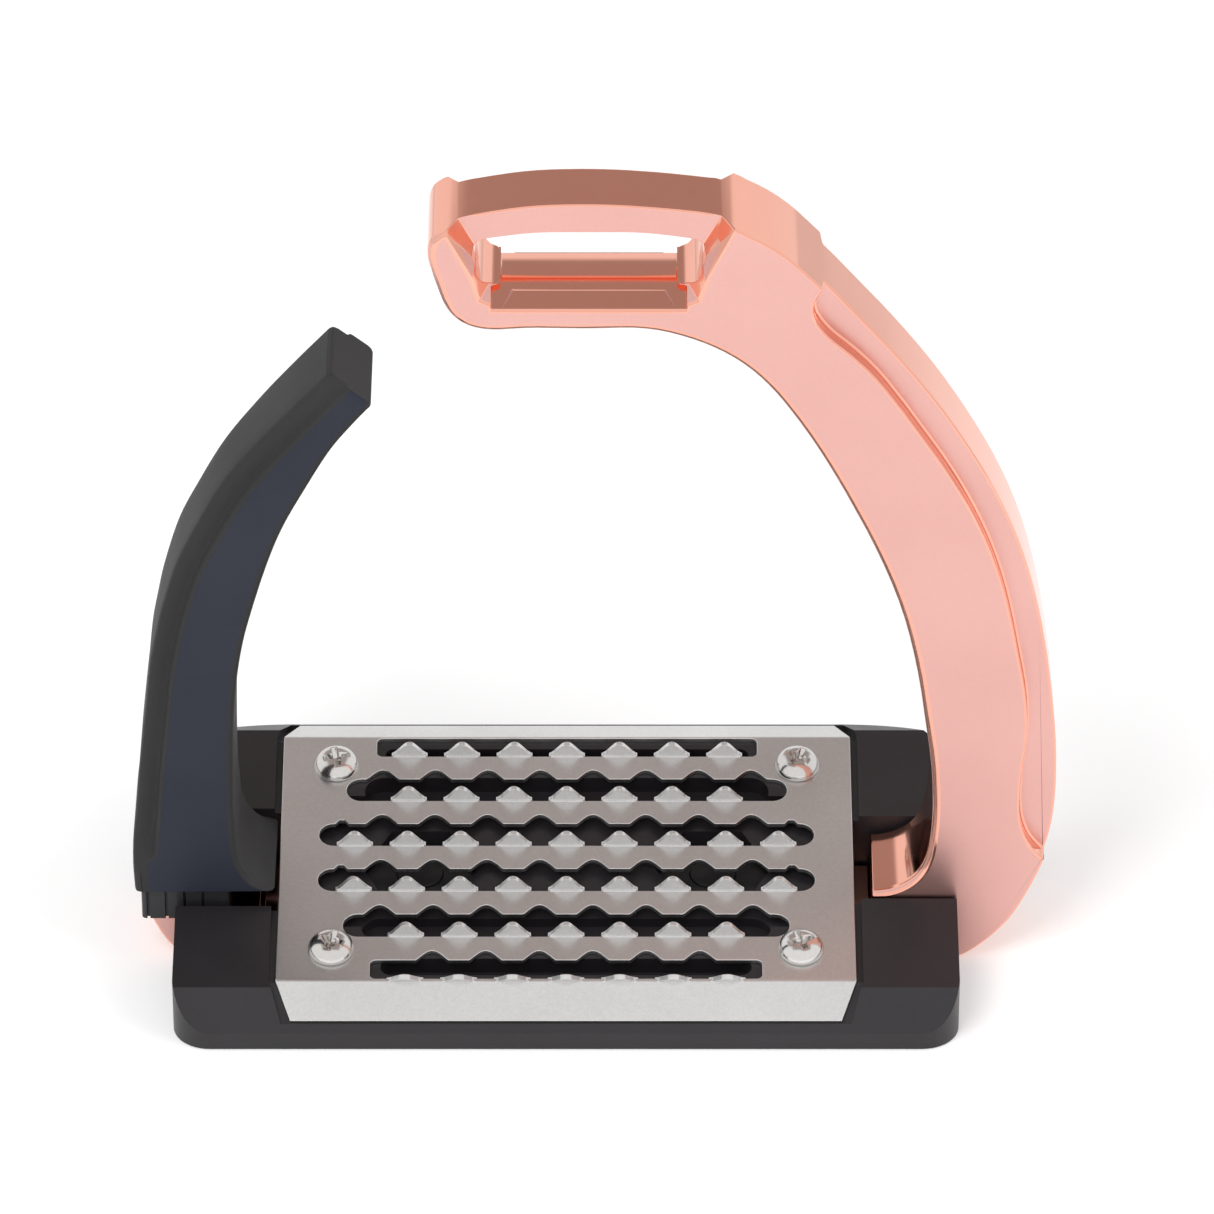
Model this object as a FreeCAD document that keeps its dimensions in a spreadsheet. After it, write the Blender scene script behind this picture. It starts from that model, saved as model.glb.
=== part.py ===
import FreeCAD, Part
import math
import os

# Safety stirrup iron for the left foot, seen from the rider's heel side.
# X runs across the foot: minus X is the open, flexing outer arm, plus X is the rigid inner branch.
# Y runs along the foot, towards the toe. Z is up.
# The origin is the centre of the footbed's underside. All lengths are in millimetres.

V = FreeCAD.Vector
doc = FreeCAD.newDocument("StirrupIron")
sheet = doc.addObject("Spreadsheet::Sheet", "Sizes")

SIZES = [
    # the cast frame
    ("frame_depth", 18.0),
    ("bar_bottom", 0.0),
    ("bar_top", 7.0),
    ("branch_inner", 63.2),
    ("branch_width", 21.5),
    ("shoulder_x", 53.4),
    ("shoulder_top", 14.6),
    ("eye_under", 131.4),
    ("eye_height", 23.0),
    ("eye_left", 22.7),
    ("ledge_depth", 3.0),
    ("ledge_width", 4.7),
    ("frame_edge", 0.9),
    ("eye_centre", 4.1),
    ("slot_length", 37.8),
    ("slot_height", 10.1),
    ("slot_floor", 7.4),
    ("eye_dish_depth", 3.3),
    ("eye_dish_bottom", 44.0),
    ("eye_dish_top", 52.0),
    ("eye_dish_draft", 2.0),
    ("eye_dish_rim", 4.1),
    ("bolt_spacing", 51.4),
    ("bolt_diameter", 8.0),
    ("bolt_clearance", 0.2),
    ("bolt_head_diameter", 15.0),
    ("bolt_head_height", 3.5),
    ("bolt_key", 5.0),
    ("nut_flats", 17.0),
    ("nut_height", 2.8),
    ("nut_seat", 8.9),
    ("nut_gap", 0.25),
    # the stub that carries the arm
    ("seat_top", 9.5),
    ("seat_lip", 1.8),
    ("stub_outer", 71.0),
    ("stub_inner", 60.6),
    ("stub_depth", 12.4),
    ("stub_top", 40.0),
    # the flexing arm
    ("socket_wall", 1.6),
    ("socket_top", 49.0),
    ("collar_height", 6.4),
    ("collar_lip", 1.6),
    ("collar_depth", 19.8),
    ("slit_width", 0.5),
    ("slit_depth", 0.6),
    ("slit_pitch", 3.2),
    ("collar_radius", 0.8),
    ("arm_foot_depth", 21.5),
    ("arm_tip_depth", 18.0),
    ("boot_wall_outer", 2.8),
    ("boot_wall_inner", 1.4),
    ("arm_height", 122.2),
    ("arm_reach", 36.0),
    ("arm_tip_inner", 25.4),
    ("arm_tip_drop", 5.9),
    ("taper_start", 30.0),
    ("arm_ledge_depth", 2.0),
    ("arm_ledge_width", 4.6),
    ("flex_height", 52.0),
    ("flex_gap", 0.3),
    ("foot_end", 50.9),
    ("foot_top", 16.1),
    ("leaf_thickness", 1.2),
    ("leaf_width", 10.0),
    ("leaf_offset", 0.4),
    ("leaf_root_length", 10.3),
    ("rivet_diameter", 2.4),
    ("rivet_spacing", 5.6),
    ("pin_diameter", 3.0),
    ("pin_height", 27.0),
    # the footbed
    ("tread_tilt", 11.0),
    ("tread_height", 15.5),
    ("base_half_width", 68.2),
    ("base_front", 34.8),
    ("base_rear", 36.3),
    ("front_wall", 3.3),
    ("bend_offset", 30.5),
    ("rear_wall", 18.0),
    ("base_corner", 6.5),
    ("body_end", 50.4),
    ("notch_right", 19.2),
    ("notch_left", 22.7),
    ("channel_gap", 0.3),
    ("rim_gap", 1.2),
    ("floor_depth", 1.5),
    ("core_wall", 2.2),
    ("rib_thickness", 2.0),
    ("core_roof", 3.0),
    # the tread plate
    ("plate_half_width", 50.3),
    ("plate_half_depth", 28.8),
    ("sheet", 1.0),
    ("flange_length", 7.2),
    ("flange_angle", 30.0),
    ("flange_cut", 2.6),
    ("row_pitch", 10.7),
    ("slot_reach", 5.2),
    ("hump_reach", 2.2),
    ("tooth_pitch", 9.3),
    ("tooth_width", 6.4),
    ("tooth_height", 2.9),
    ("tooth_thickness", 0.9),
    ("screw_spacing_x", 81.6),
    ("screw_spacing_y", 43.5),
    ("screw_diameter", 4.0),
    ("screw_head_diameter", 8.0),
    ("screw_head_height", 2.9),
    ("screw_length", 7.0),
    ("screw_hole_gap", 0.25),
    ("insert_diameter", 5.6),
    ("insert_length", 5.5),
]

for row, (alias, value) in enumerate(SIZES, start=1):
    sheet.set("A%d" % row, alias)
    sheet.set("B%d" % row, str(value))
    sheet.setAlias("B%d" % row, alias)
doc.recompute()


def size(alias):
    """One driving dimension, read from the sheet."""
    return float(sheet.get(alias))


def bind(obj, prop, text):
    """Ties a property to the sheet: names in the text are aliases."""
    words = []
    word = ""
    for char in text + " ":
        if char.isalnum() or char == "_":
            word += char
            continue
        if word and not word[0].isdigit() and word not in ("cos", "sin", "tan", "deg", "mm"):
            word = "Sizes." + word
        words.append(word + char)
        word = ""
    obj.setExpression(prop, "".join(words).strip())


def new_body(name):
    body = doc.addObject("PartDesign::Body", name)
    body.Label = name
    return body


def plane(body, role):
    return [f for f in body.Origin.OriginFeatures if f.Role == role][0]


def sketch(body, name, role, offset=None, tilted=False):
    """A sketch on one of the body's own planes, moved along the plane's normal by offset."""
    sk = body.newObject("Sketcher::SketchObject", name)
    sk.AttachmentSupport = [(plane(body, role), "")]
    sk.MapMode = "FlatFace"
    if tilted:
        sk.AttachmentOffset = FreeCAD.Placement(V(0, 0, 1), FreeCAD.Rotation(V(1, 0, 0), 5))
        bind(sk, "AttachmentOffset.Base.z", "tread_height")
        bind(sk, "AttachmentOffset.Rotation.Angle", "tread_tilt")
    elif offset is not None:
        bind(sk, "AttachmentOffset.Base.z", offset)
    return sk


def lines(sk, points, close=True):
    pts = [V(p[0], p[1], 0) for p in points]
    if close:
        pts.append(pts[0])
    for a, b in zip(pts[:-1], pts[1:]):
        if a.distanceToPoint(b) > 1e-6:
            sk.addGeometry(Part.LineSegment(a, b), False)


def smooth_line(points):
    spline = Part.BSplineCurve()
    spline.interpolate([V(p[0], p[1], 0) for p in points])
    return spline


def curve(sk, points):
    """A smooth line through the points, as one spline."""
    sk.addGeometry(smooth_line(points), False)


def arc_chain(sk, points):
    """A smooth line through the points, laid down as a chain of arcs that run into each other."""
    for arc in smooth_line(points).toBiArcs(0.05):
        sk.addGeometry(arc, False)


def box_lines(sk, x0, x1, y0, y1):
    """A rectangle whose four sides are held at expressions of the driving dimensions."""
    import Sketcher
    first = len(sk.Geometry)
    lines(sk, [(-1, -1), (1, -1), (1, 1), (-1, 1)])
    for k in range(4):
        sk.addConstraint(Sketcher.Constraint("Coincident", first + k, 2, first + (k + 1) % 4, 1))
    sk.addConstraint(Sketcher.Constraint("Horizontal", first))
    sk.addConstraint(Sketcher.Constraint("Horizontal", first + 2))
    sk.addConstraint(Sketcher.Constraint("Vertical", first + 1))
    sk.addConstraint(Sketcher.Constraint("Vertical", first + 3))
    for geo, kind, text in ((first + 3, "DistanceX", x0), (first + 1, "DistanceX", x1),
                            (first, "DistanceY", y0), (first + 2, "DistanceY", y1)):
        number = sk.addConstraint(Sketcher.Constraint(kind, -1, 1, geo, 1, 0.5))
        bind(sk, "Constraints[%d]" % number, text)


def circle(sk, x, y, diameter):
    """A circle whose centre and diameter are held at expressions of the driving dimensions."""
    import Sketcher
    geo = sk.addGeometry(Part.Circle(V(1, 1, 0), V(0, 0, 1), 1.0), False)
    for kind, text in (("DistanceX", x), ("DistanceY", y)):
        number = sk.addConstraint(Sketcher.Constraint(kind, -1, 1, geo, 3, 1.0))
        bind(sk, "Constraints[%d]" % number, text)
    number = sk.addConstraint(Sketcher.Constraint("Diameter", geo, 2.0))
    bind(sk, "Constraints[%d]" % number, diameter)


def hexagon(x, y, flats):
    """Corners of a hexagon with two sides parallel to X."""
    radius = flats / math.sqrt(3.0)
    return [(x + radius * math.cos(math.radians(60 * k)), y + radius * math.sin(math.radians(60 * k)))
            for k in range(6)]


def pad(body, name, sk, length, symmetric=False, reverse=False):
    feature = body.newObject("PartDesign::Pad", name)
    feature.Profile = sk
    bind(feature, "Length", length)
    if symmetric:
        feature.SideType = "Symmetric"
    feature.Reversed = reverse
    sk.Visibility = False
    return feature


def pocket(body, name, sk, length=None, symmetric=False, reverse=False):
    """Cuts the sketch into the body and makes sure that it took something away."""
    doc.recompute()
    before = body.Shape.Volume
    feature = body.newObject("PartDesign::Pocket", name)
    feature.Profile = sk
    if length is None:
        feature.Type = "ThroughAll"
    else:
        bind(feature, "Length", length)
    if symmetric:
        feature.SideType = "Symmetric"
    feature.Reversed = reverse
    doc.recompute()
    if not body.Shape.Volume < before - 1e-6:
        raise RuntimeError("nothing cut by " + name)
    return feature


def revolve(body, name, sk, axis_role):
    feature = body.newObject("PartDesign::Revolution", name)
    feature.Profile = sk
    feature.ReferenceAxis = (plane(body, axis_role), [""])
    feature.Angle = 360.0
    return feature


def offset_line(points, distance):
    """The points moved sideways by distance, to the right of the way they run."""
    out = []
    last = len(points) - 1
    for i, (x, z) in enumerate(points):
        ax, az = points[max(i - 1, 0)]
        bx, bz = points[min(i + 1, last)]
        length = math.hypot(bx - ax, bz - az)
        out.append((x + distance * (bz - az) / length, z - distance * (bx - ax) / length))
    return out


# The outline of the frame
# Free curves are kept as shares of the sizes that they run between, and end exactly on them.

frame_depth = size("frame_depth")
bar_top = size("bar_top")
bar_bottom = size("bar_bottom")
inner = size("branch_inner")
outer = inner + size("branch_width")
eye_under = size("eye_under")
eye_top = eye_under + size("eye_height")
eye_left = -size("eye_left")
shoulder_x = size("shoulder_x")
shoulder_top = size("shoulder_top")


def between(points, x0, x1, z0, z1):
    """Turns shares of a span into positions."""
    return [(x0 + (x1 - x0) * u, z0 + (z1 - z0) * w) for u, w in points]


# from the underside of the bar up the outside of the branch to the corner of the eye
corner_x = 0.36 * outer
corner_z = eye_top - 0.18 * size("eye_height")
bar_end = 0.80 * outer
OUTSIDE_LOW = between([(0.0, 0.0), (0.11, 0.027), (0.25, 0.088), (0.56, 0.29), (0.80, 0.575),
                       (0.925, 0.775), (1.0, 1.04)],
                      bar_end, outer, bar_bottom, bar_bottom + 0.335 * outer)
OUTSIDE_HIGH = between([(1.0, 0.081), (0.990, 0.175), (0.964, 0.271), (0.914, 0.389), (0.828, 0.513),
                        (0.692, 0.635), (0.571, 0.722), (0.399, 0.823), (0.252, 0.902), (0.120, 0.964),
                        (0.0, 1.0)],
                       corner_x, outer, 0.196 * eye_top, corner_z)
EYE_TOP = between([(1.0, 0.0), (0.937, 0.41), (0.848, 0.65), (0.694, 0.88), (0.535, 1.0), (0.437, 1.0),
                   (0.306, 0.90), (0.178, 0.62), (0.064, 0.21), (0.02, -0.10)],
                  eye_left, corner_x, corner_z, eye_top)
EYE_NOSE = between([(0.0229, 0.7843), (0.0, 0.68), (0.0, 0.62), (0.053, 0.50), (0.155, 0.31), (0.259, 0.162),
                    (0.47, 0.045), (0.68, 0.0)],
                   eye_left, 0.45 * eye_left, eye_under, eye_top)
EYE_NOSE[0] = EYE_TOP[-1]
INSIDE = between([(0.0, 1.0), (0.14, 0.986), (0.325, 0.944), (0.5, 0.857), (0.728, 0.677),
                  (0.898, 0.489), (0.972, 0.320), (1.0, 0.092)],
                 0.205 * inner, inner, shoulder_top, eye_under)
SHOULDER = between([(1.0, 1.0), (0.97, 0.80), (0.86, 0.45), (0.65, 0.20), (0.36, 0.05), (0.0, 0.0)],
                   shoulder_x, inner, shoulder_top, INSIDE[-1][1])

# the stub on the open side
seat_top = size("seat_top")
seat_outer = -size("stub_outer") - size("seat_lip")
stub_outer = -size("stub_outer")
stub_inner = -size("stub_inner")
stub_top = size("stub_top")
STUB_OUTSIDE = between([(0.0, 1.0), (0.30, 0.42), (0.62, 0.10), (1.0, 0.0)],
                       seat_outer, seat_outer + 0.125 * abs(seat_outer), bar_bottom, seat_top)

frame = new_body("frame")
outline = sketch(frame, "frame_outline", "XZ_Plane")
arc_chain(outline, OUTSIDE_LOW + OUTSIDE_HIGH[1:])
arc_chain(outline, EYE_TOP)
under = [(EYE_NOSE[-1][0] * (1 - k / 4) + INSIDE[0][0] * k / 4, eye_under) for k in (1, 2, 3)]
arc_chain(outline, EYE_NOSE + under + INSIDE + SHOULDER[1:])
lines(outline, [SHOULDER[-1], (shoulder_x, bar_top), (-shoulder_x, bar_top), (-shoulder_x, seat_top),
                (stub_inner, seat_top), (stub_inner, stub_top), (stub_outer, stub_top),
                (stub_outer, seat_top), STUB_OUTSIDE[0]], close=False)
arc_chain(outline, STUB_OUTSIDE)
lines(outline, [STUB_OUTSIDE[-1], OUTSIDE_LOW[0]], close=False)
pad(frame, "frame_casting", outline, "frame_depth", symmetric=True)
doc.recompute()

# The ledge along the outer edge of both broad faces, with rounded ends that run out to the edge
whole = OUTSIDE_LOW[2:] + OUTSIDE_HIGH[1:]
ledge_run = [p for p in whole if 0.20 * eye_top < p[1] < 0.885 * eye_top]
ledge_width = size("ledge_width")
wall = offset_line(ledge_run, -ledge_width)
low_end = [p for p in whole if p[1] < 0.17 * eye_top][-1]
high_end = [p for p in whole if p[1] > 0.895 * eye_top][0]
LEDGE = ([(low_end[0] + 1.5, low_end[1] - 1.5), (low_end[0] - 0.25 * ledge_width, low_end[1] + 0.6)]
         + wall + [(high_end[0] - 0.55 * ledge_width, high_end[1] - 0.75 * ledge_width),
                   (high_end[0] - 0.25 * ledge_width, high_end[1] + 0.9)])
for side, offset, reverse in (("front", "frame_depth / 2", False), ("rear", "-frame_depth / 2", True)):
    ledge = sketch(frame, "ledge_%s_line" % side, "XZ_Plane", offset)
    arc_chain(ledge, LEDGE)
    lines(ledge, [LEDGE[-1], (LEDGE[-1][0] + 2.5, LEDGE[-1][1] + 4), (outer + 20, LEDGE[-1][1] + 4),
                  (outer + 20, LEDGE[0][1]), LEDGE[0]], close=False)
    pocket(frame, "ledge_%s" % side, ledge, "ledge_depth", reverse=reverse)

# The dished eye: a shallow recess in both faces, open at the top, with sloping walls
dish_depth = size("eye_dish_depth")
eye_x = size("eye_centre")
slot_x0 = eye_x - size("slot_length") / 2
slot_x1 = eye_x + size("slot_length") / 2
slot_z0 = eye_under + size("slot_floor")
slot_z1 = slot_z0 + size("slot_height")
rim = size("eye_dish_rim")
half_low = size("eye_dish_bottom") / 2 - 2.5
half_high = size("eye_dish_top") / 2 + 2.5
over = eye_top + 6


def dish(inset, floor):
    """The recess outline: a low wide trapezium with eased lower corners, wider at the top."""
    low = half_low - inset
    high = half_high - inset
    ease = 5.0
    return [(eye_x - high, over), (eye_x - low - 0.4, floor + ease + 2.0), (eye_x - low + 1.2, floor + 2.0),
            (eye_x - low + ease, floor), (eye_x + low - ease, floor), (eye_x + low - 1.2, floor + 2.0),
            (eye_x + low + 0.4, floor + ease + 2.0), (eye_x + high, over)]


for side, sign in (("front", ""), ("rear", "-")):
    face = sketch(frame, "dish_%s_rim" % side, "XZ_Plane", sign + "(frame_depth / 2 + 0.01)")
    lines(face, dish(0.0, eye_under + rim))
    floor = sketch(frame, "dish_%s_floor" % side, "XZ_Plane", sign + "(frame_depth / 2 - eye_dish_depth)")
    lines(floor, dish(size("eye_dish_draft"), eye_under + rim + 0.62 * (size("slot_floor") - rim)))
    doc.recompute()
    before = frame.Shape.Volume
    loft = frame.newObject("PartDesign::SubtractiveLoft", "dish_%s" % side)
    loft.Profile = face
    loft.Sections = [floor]
    loft.Ruled = True
    doc.recompute()
    if not frame.Shape.Volume < before - 1e-6:
        raise RuntimeError("nothing cut by the dish")

# The slot that the leather runs through, with a gently arched top and round ends
slot = sketch(frame, "leather_slot_line", "XZ_Plane")
slot_r = 0.44 * size("slot_height")
arch = 1.0
arc_chain(slot, [(slot_x0, slot_z0 + slot_r), (slot_x0 + 0.6, slot_z0 + 1.9 * slot_r),
             (slot_x0 + 3.2, slot_z1 - arch), (slot_x0 + 8, slot_z1 - 0.3), (eye_x, slot_z1),
             (slot_x1 - 8, slot_z1 - 0.3), (slot_x1 - 3.2, slot_z1 - arch),
             (slot_x1 - 0.6, slot_z0 + 1.9 * slot_r), (slot_x1, slot_z0 + slot_r)])
slot.addGeometry(Part.Arc(V(slot_x1, slot_z0 + slot_r, 0),
                          V(slot_x1 - slot_r * 0.293, slot_z0 + slot_r * 0.293, 0),
                          V(slot_x1 - slot_r, slot_z0, 0)), False)
lines(slot, [(slot_x1 - slot_r, slot_z0), (slot_x0 + slot_r, slot_z0)], close=False)
slot.addGeometry(Part.Arc(V(slot_x0 + slot_r, slot_z0, 0),
                          V(slot_x0 + slot_r * 0.293, slot_z0 + slot_r * 0.293, 0),
                          V(slot_x0, slot_z0 + slot_r, 0)), False)
slot_cut = pocket(frame, "leather_slot", slot, "frame_depth + 2", symmetric=True)

# The lower lip of the slot slopes away towards both faces, where the leather bends over it
lip = sketch(frame, "slot_lip_line", "YZ_Plane", "eye_centre")
flat = 0.42 * frame_depth / 2
deep = frame_depth / 2 + 1
lines(lip, [(-flat, slot_z0 + 0.01), (-deep, slot_z0 + 0.01), (-deep, eye_under + rim - 0.6)])
lines(lip, [(flat, slot_z0 + 0.01), (deep, eye_under + rim - 0.6), (deep, slot_z0 + 0.01)])
pocket(frame, "slot_lip", lip, "slot_length - 2 * 2.6", symmetric=True)

# The stub is thinner than the casting, so that the arm's socket fits over it
tenon = sketch(frame, "stub_cheeks_line", "YZ_Plane", "-(stub_outer + stub_inner) / 2")
box_lines(tenon, "stub_depth / 2", "frame_depth", "seat_top", "stub_top + 5")
box_lines(tenon, "-frame_depth", "-stub_depth / 2", "seat_top", "stub_top + 5")
pocket(frame, "stub_cheeks", tenon, "stub_outer - stub_inner + 6", symmetric=True)

# Bolt holes through the bar, countersunk from below, and the cross hole of the arm's pin
holes = sketch(frame, "bolt_hole_lines", "XY_Plane", "bar_top + 1")
circle(holes, "bolt_spacing / 2", "0", "bolt_diameter + 2 * bolt_clearance")
circle(holes, "-bolt_spacing / 2", "0", "bolt_diameter + 2 * bolt_clearance")
pocket(frame, "bolt_holes", holes, "bar_top + 2")
pin_line = sketch(frame, "pin_hole_line", "XZ_Plane")
circle(pin_line, "-(stub_outer + stub_inner) / 2", "pin_height", "pin_diameter")
pocket(frame, "pin_hole", pin_line, "frame_depth", symmetric=True)


def countersink(body, name, x_text):
    """A cone cut upwards from the bar's underside round one bolt hole."""
    sk = sketch(body, name + "_line", "XZ_Plane")
    x0 = (1 if not x_text.startswith("-") else -1) * size("bolt_spacing") / 2
    r1 = size("bolt_head_diameter") / 2 + 0.15
    r0 = size("bolt_diameter") / 2
    top = bar_bottom + size("bolt_head_height") + 0.15
    lines(sk, [(x0, bar_bottom - 1), (x0 + r1, bar_bottom - 1), (x0 + r1, bar_bottom + 0.3),
               (x0 + r0, top), (x0, top)])
    sk.addGeometry(Part.LineSegment(V(x0, bar_bottom - 5, 0), V(x0, bar_bottom + 20, 0)), True)
    doc.recompute()
    before = body.Shape.Volume
    groove = body.newObject("PartDesign::Groove", name)
    groove.Profile = sk
    groove.ReferenceAxis = (sk, ["Axis0"])
    groove.Angle = 360.0
    doc.recompute()
    if not body.Shape.Volume < before - 1e-6:
        raise RuntimeError("nothing cut by " + name)


countersink(frame, "sink_right", "bolt_spacing")
countersink(frame, "sink_left", "-bolt_spacing")

# The polished edges are eased where the inside outline meets the two broad faces
doc.recompute()
half = frame_depth / 2
inside_line = smooth_line(EYE_NOSE + under + INSIDE + SHOULDER[1:]).toShape()
rounded = []
for number, edge in enumerate(frame.Shape.Edges, start=1):
    middle = edge.valueAt((edge.FirstParameter + edge.LastParameter) / 2)
    on_face = edge.BoundBox.YLength < 1e-6 and abs(abs(middle.y) - half) < 1e-6
    if on_face and Part.Vertex(V(middle.x, middle.z, 0)).distToShape(inside_line)[0] < 0.2:
        rounded.append("Edge%d" % number)
sharp = frame.Tip
eased = frame.newObject("PartDesign::Chamfer", "frame_edges")
eased.Base = (sharp, rounded)
bind(eased, "Size", "frame_edge")
doc.recompute()


# The flexing arm
# Its outer and inner outlines, from the foot up to the square tip.

arm_outer = stub_outer - size("socket_wall") - size("boot_wall_outer")
arm_inner = stub_inner + size("socket_wall") + size("boot_wall_inner")
arm_height = size("arm_height")
foot_top = size("foot_top")
foot_end = -size("foot_end")
flex = size("flex_height")
flex_gap = size("flex_gap")
tip_x = arm_outer + size("arm_reach")
tip_low_x = arm_inner + size("arm_tip_inner")
tip_low_z = arm_height - size("arm_tip_drop")
ARM_OUTSIDE = between([(0.011, -0.001), (0.0, 0.046), (0.006, 0.105), (0.044, 0.232), (0.088, 0.367),
                       (0.142, 0.489), (0.253, 0.629), (0.344, 0.700), (0.483, 0.784), (0.65, 0.863),
                       (1.0, 1.0)], arm_outer, tip_x, foot_top, arm_height)
ARM_INSIDE = between([(1.0, 1.0), (0.878, 0.964), (0.709, 0.905), (0.531, 0.826), (0.378, 0.75),
                      (0.16, 0.580), (0.039, 0.421), (0.0, 0.230), (0.008, 0.109)],
                     arm_inner, tip_low_x, foot_top, tip_low_z)
FOOT_CURVE = between([(0.1, 0.058), (0.36, 0.0215), (0.66, 0.0055), (1.0, 0.0)],
                     arm_inner, foot_end, foot_top, foot_top + 106.1)


def x_at(points, z):
    """Where a run of points crosses a height."""
    for (xa, za), (xb, zb) in zip(points[:-1], points[1:]):
        if min(za, zb) <= z <= max(za, zb) and za != zb:
            return xa + (xb - xa) * (z - za) / (zb - za)
    raise ValueError("height outside the curve")


hinge_x = x_at(ARM_OUTSIDE, flex)
arm_depth = size("arm_foot_depth")
socket_x0 = stub_outer - size("socket_wall")
socket_x1 = stub_inner + size("socket_wall")
socket_top = size("socket_top")
socket_y = size("stub_depth") / 2 + size("socket_wall")
leaf_x = (stub_outer + stub_inner) / 2 + size("leaf_offset")
leaf_half = size("leaf_thickness") / 2
leaf_middle = "-(stub_outer + stub_inner) / 2 + leaf_offset"
LEAF_FACES = (leaf_middle + " - leaf_thickness / 2", leaf_middle + " + leaf_thickness / 2")
leaf_y = size("leaf_width") / 2
leaf_low = flex - size("leaf_root_length")
mid_stub = (stub_outer + stub_inner) / 2
collar_top = seat_top + size("collar_height")


def taper(body, name):
    """Thins the arm evenly from the foot up to the tip, on both broad faces."""
    sk = sketch(body, name + "_line", "YZ_Plane")
    foot = arm_depth / 2
    tip = size("arm_tip_depth") / 2
    low = size("taper_start")
    for sign in (1, -1):
        lines(sk, [(sign * foot, low), (sign * tip, arm_height + 0.5), (sign * (foot + 5), arm_height + 0.5),
                   (sign * (foot + 5), low)])
    pocket(body, name, sk, "3 * (stub_outer + socket_wall + boot_wall_outer)", symmetric=True)


ARM_WALL = offset_line([p for p in ARM_OUTSIDE if p[1] > foot_top + 8], -size("arm_ledge_width"))
ARM_LEDGE = [(arm_outer - 1.5, foot_top + 5.5), (arm_outer + 1.2, foot_top + 8.3)]
ARM_LEDGE = ARM_LEDGE + [(x, z) for x, z in offset_line(ARM_OUTSIDE, size("arm_ledge_width"))
                         if z > foot_top + 13]


def arm_ledges(body, low, high):
    """The shallow ledge that follows the arm's outer edge, on both broad faces."""
    for side, sign in (("front", 1), ("rear", -1)):
        sk = sketch(body, "arm_ledge_%s_line" % side, "XZ_Plane")
        lean = math.degrees(math.atan2((arm_depth - size("arm_tip_depth")) / 2,
                                       arm_height + 0.5 - size("taper_start")))
        stand_off = arm_depth / 2 + size("taper_start") * math.tan(math.radians(lean))
        sk.AttachmentOffset = FreeCAD.Placement(V(0, 0, sign * stand_off),
                                                FreeCAD.Rotation(V(1, 0, 0), -sign * lean))
        curve(sk, ARM_LEDGE)
        end = ARM_LEDGE[-1]
        lines(sk, [end, (end[0] + 6, end[1] + 7), (arm_outer - 9, end[1] + 7),
                   (arm_outer - 9, ARM_LEDGE[0][1]), ARM_LEDGE[0]], close=False)
        pocket(body, "arm_ledge_%s" % side, sk, "arm_ledge_depth", reverse=sign < 0)


# The lower, fixed part of the elastomer: a boot over the socket, with the foot that fills the notch
boot_top = flex - flex_gap / 2
boot = new_body("arm_boot")
sk = sketch(boot, "boot_outline", "XZ_Plane")
left_run = [p for p in ARM_OUTSIDE if p[1] < boot_top - 0.6]
left_run = [(left_run[0][0], collar_top)] + left_run[1:] + [(x_at(ARM_OUTSIDE, boot_top), boot_top)]
inside_run = [p for p in ARM_INSIDE if p[1] < boot_top - 0.6]
right_run = [(x_at(ARM_INSIDE, boot_top), boot_top)] + inside_run + FOOT_CURVE
curve(sk, left_run)
lines(sk, [left_run[-1], right_run[0]], close=False)
curve(sk, right_run)
lines(sk, [right_run[-1], (foot_end, seat_top), (socket_x1, seat_top), (socket_x1, collar_top),
           left_run[0]], close=False)
pad(boot, "boot_block", sk, "arm_foot_depth", symmetric=True)
taper(boot, "boot_taper")
arm_ledges(boot, foot_top, boot_top)
sk = sketch(boot, "boot_bore_line", "XY_Plane", "seat_top - 1")
box_lines(sk, "-stub_outer - socket_wall", "-stub_inner + socket_wall",
          "-stub_depth / 2 - socket_wall", "stub_depth / 2 + socket_wall")
pocket(boot, "boot_bore", sk, "socket_top - seat_top + 1", reverse=True)
sk = sketch(boot, "boot_leaf_line", "XY_Plane", "flex_height")
box_lines(sk, LEAF_FACES[0], LEAF_FACES[1], "-leaf_width / 2",
          "leaf_width / 2")
pocket(boot, "boot_leaf_slot", sk, "flex_height - socket_top + 0.5")
doc.recompute()

# The upper part of the elastomer, which bends outwards to free the foot
upper_low = flex + flex_gap / 2
upper = new_body("arm_upper")
sk = sketch(upper, "upper_outline", "XZ_Plane")
left_run = [(x_at(ARM_OUTSIDE, upper_low), upper_low)] + [p for p in ARM_OUTSIDE if p[1] > upper_low + 0.6]
right_run = [p for p in ARM_INSIDE if p[1] > upper_low + 0.6] + [(x_at(ARM_INSIDE, upper_low), upper_low)]
curve(sk, left_run)
lines(sk, [left_run[-1], right_run[0]], close=False)
curve(sk, right_run)
lines(sk, [right_run[-1], left_run[0]], close=False)
pad(upper, "upper_block", sk, "arm_foot_depth", symmetric=True)
taper(upper, "upper_taper")
arm_ledges(upper, upper_low, arm_height)

LEAF_MID = [(leaf_x, upper_low), (leaf_x + 0.16 * 30, upper_low + 27), (leaf_x + 18.9, arm_height - 16.2)]


def leaf_region(sk):
    """The side view of the bent leaf: two arcs a leaf's thickness apart, and two short ends."""
    arc = Part.Arc(*[V(x, z, 0) for x, z in LEAF_MID])
    centre = arc.toShape().Curve.Center
    sides = []
    for grow in (leaf_half, -leaf_half):
        pts = []
        for x, z in LEAF_MID:
            away = V(x, z, 0) - centre
            away.normalize()
            pts.append(V(x, z, 0) + away * grow)
        sides.append(pts)
    sk.addGeometry(Part.Arc(*sides[0]), False)
    sk.addGeometry(Part.LineSegment(sides[0][2], sides[1][2]), False)
    sk.addGeometry(Part.Arc(*sides[1]), False)
    sk.addGeometry(Part.LineSegment(sides[1][0], sides[0][0]), False)


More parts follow.
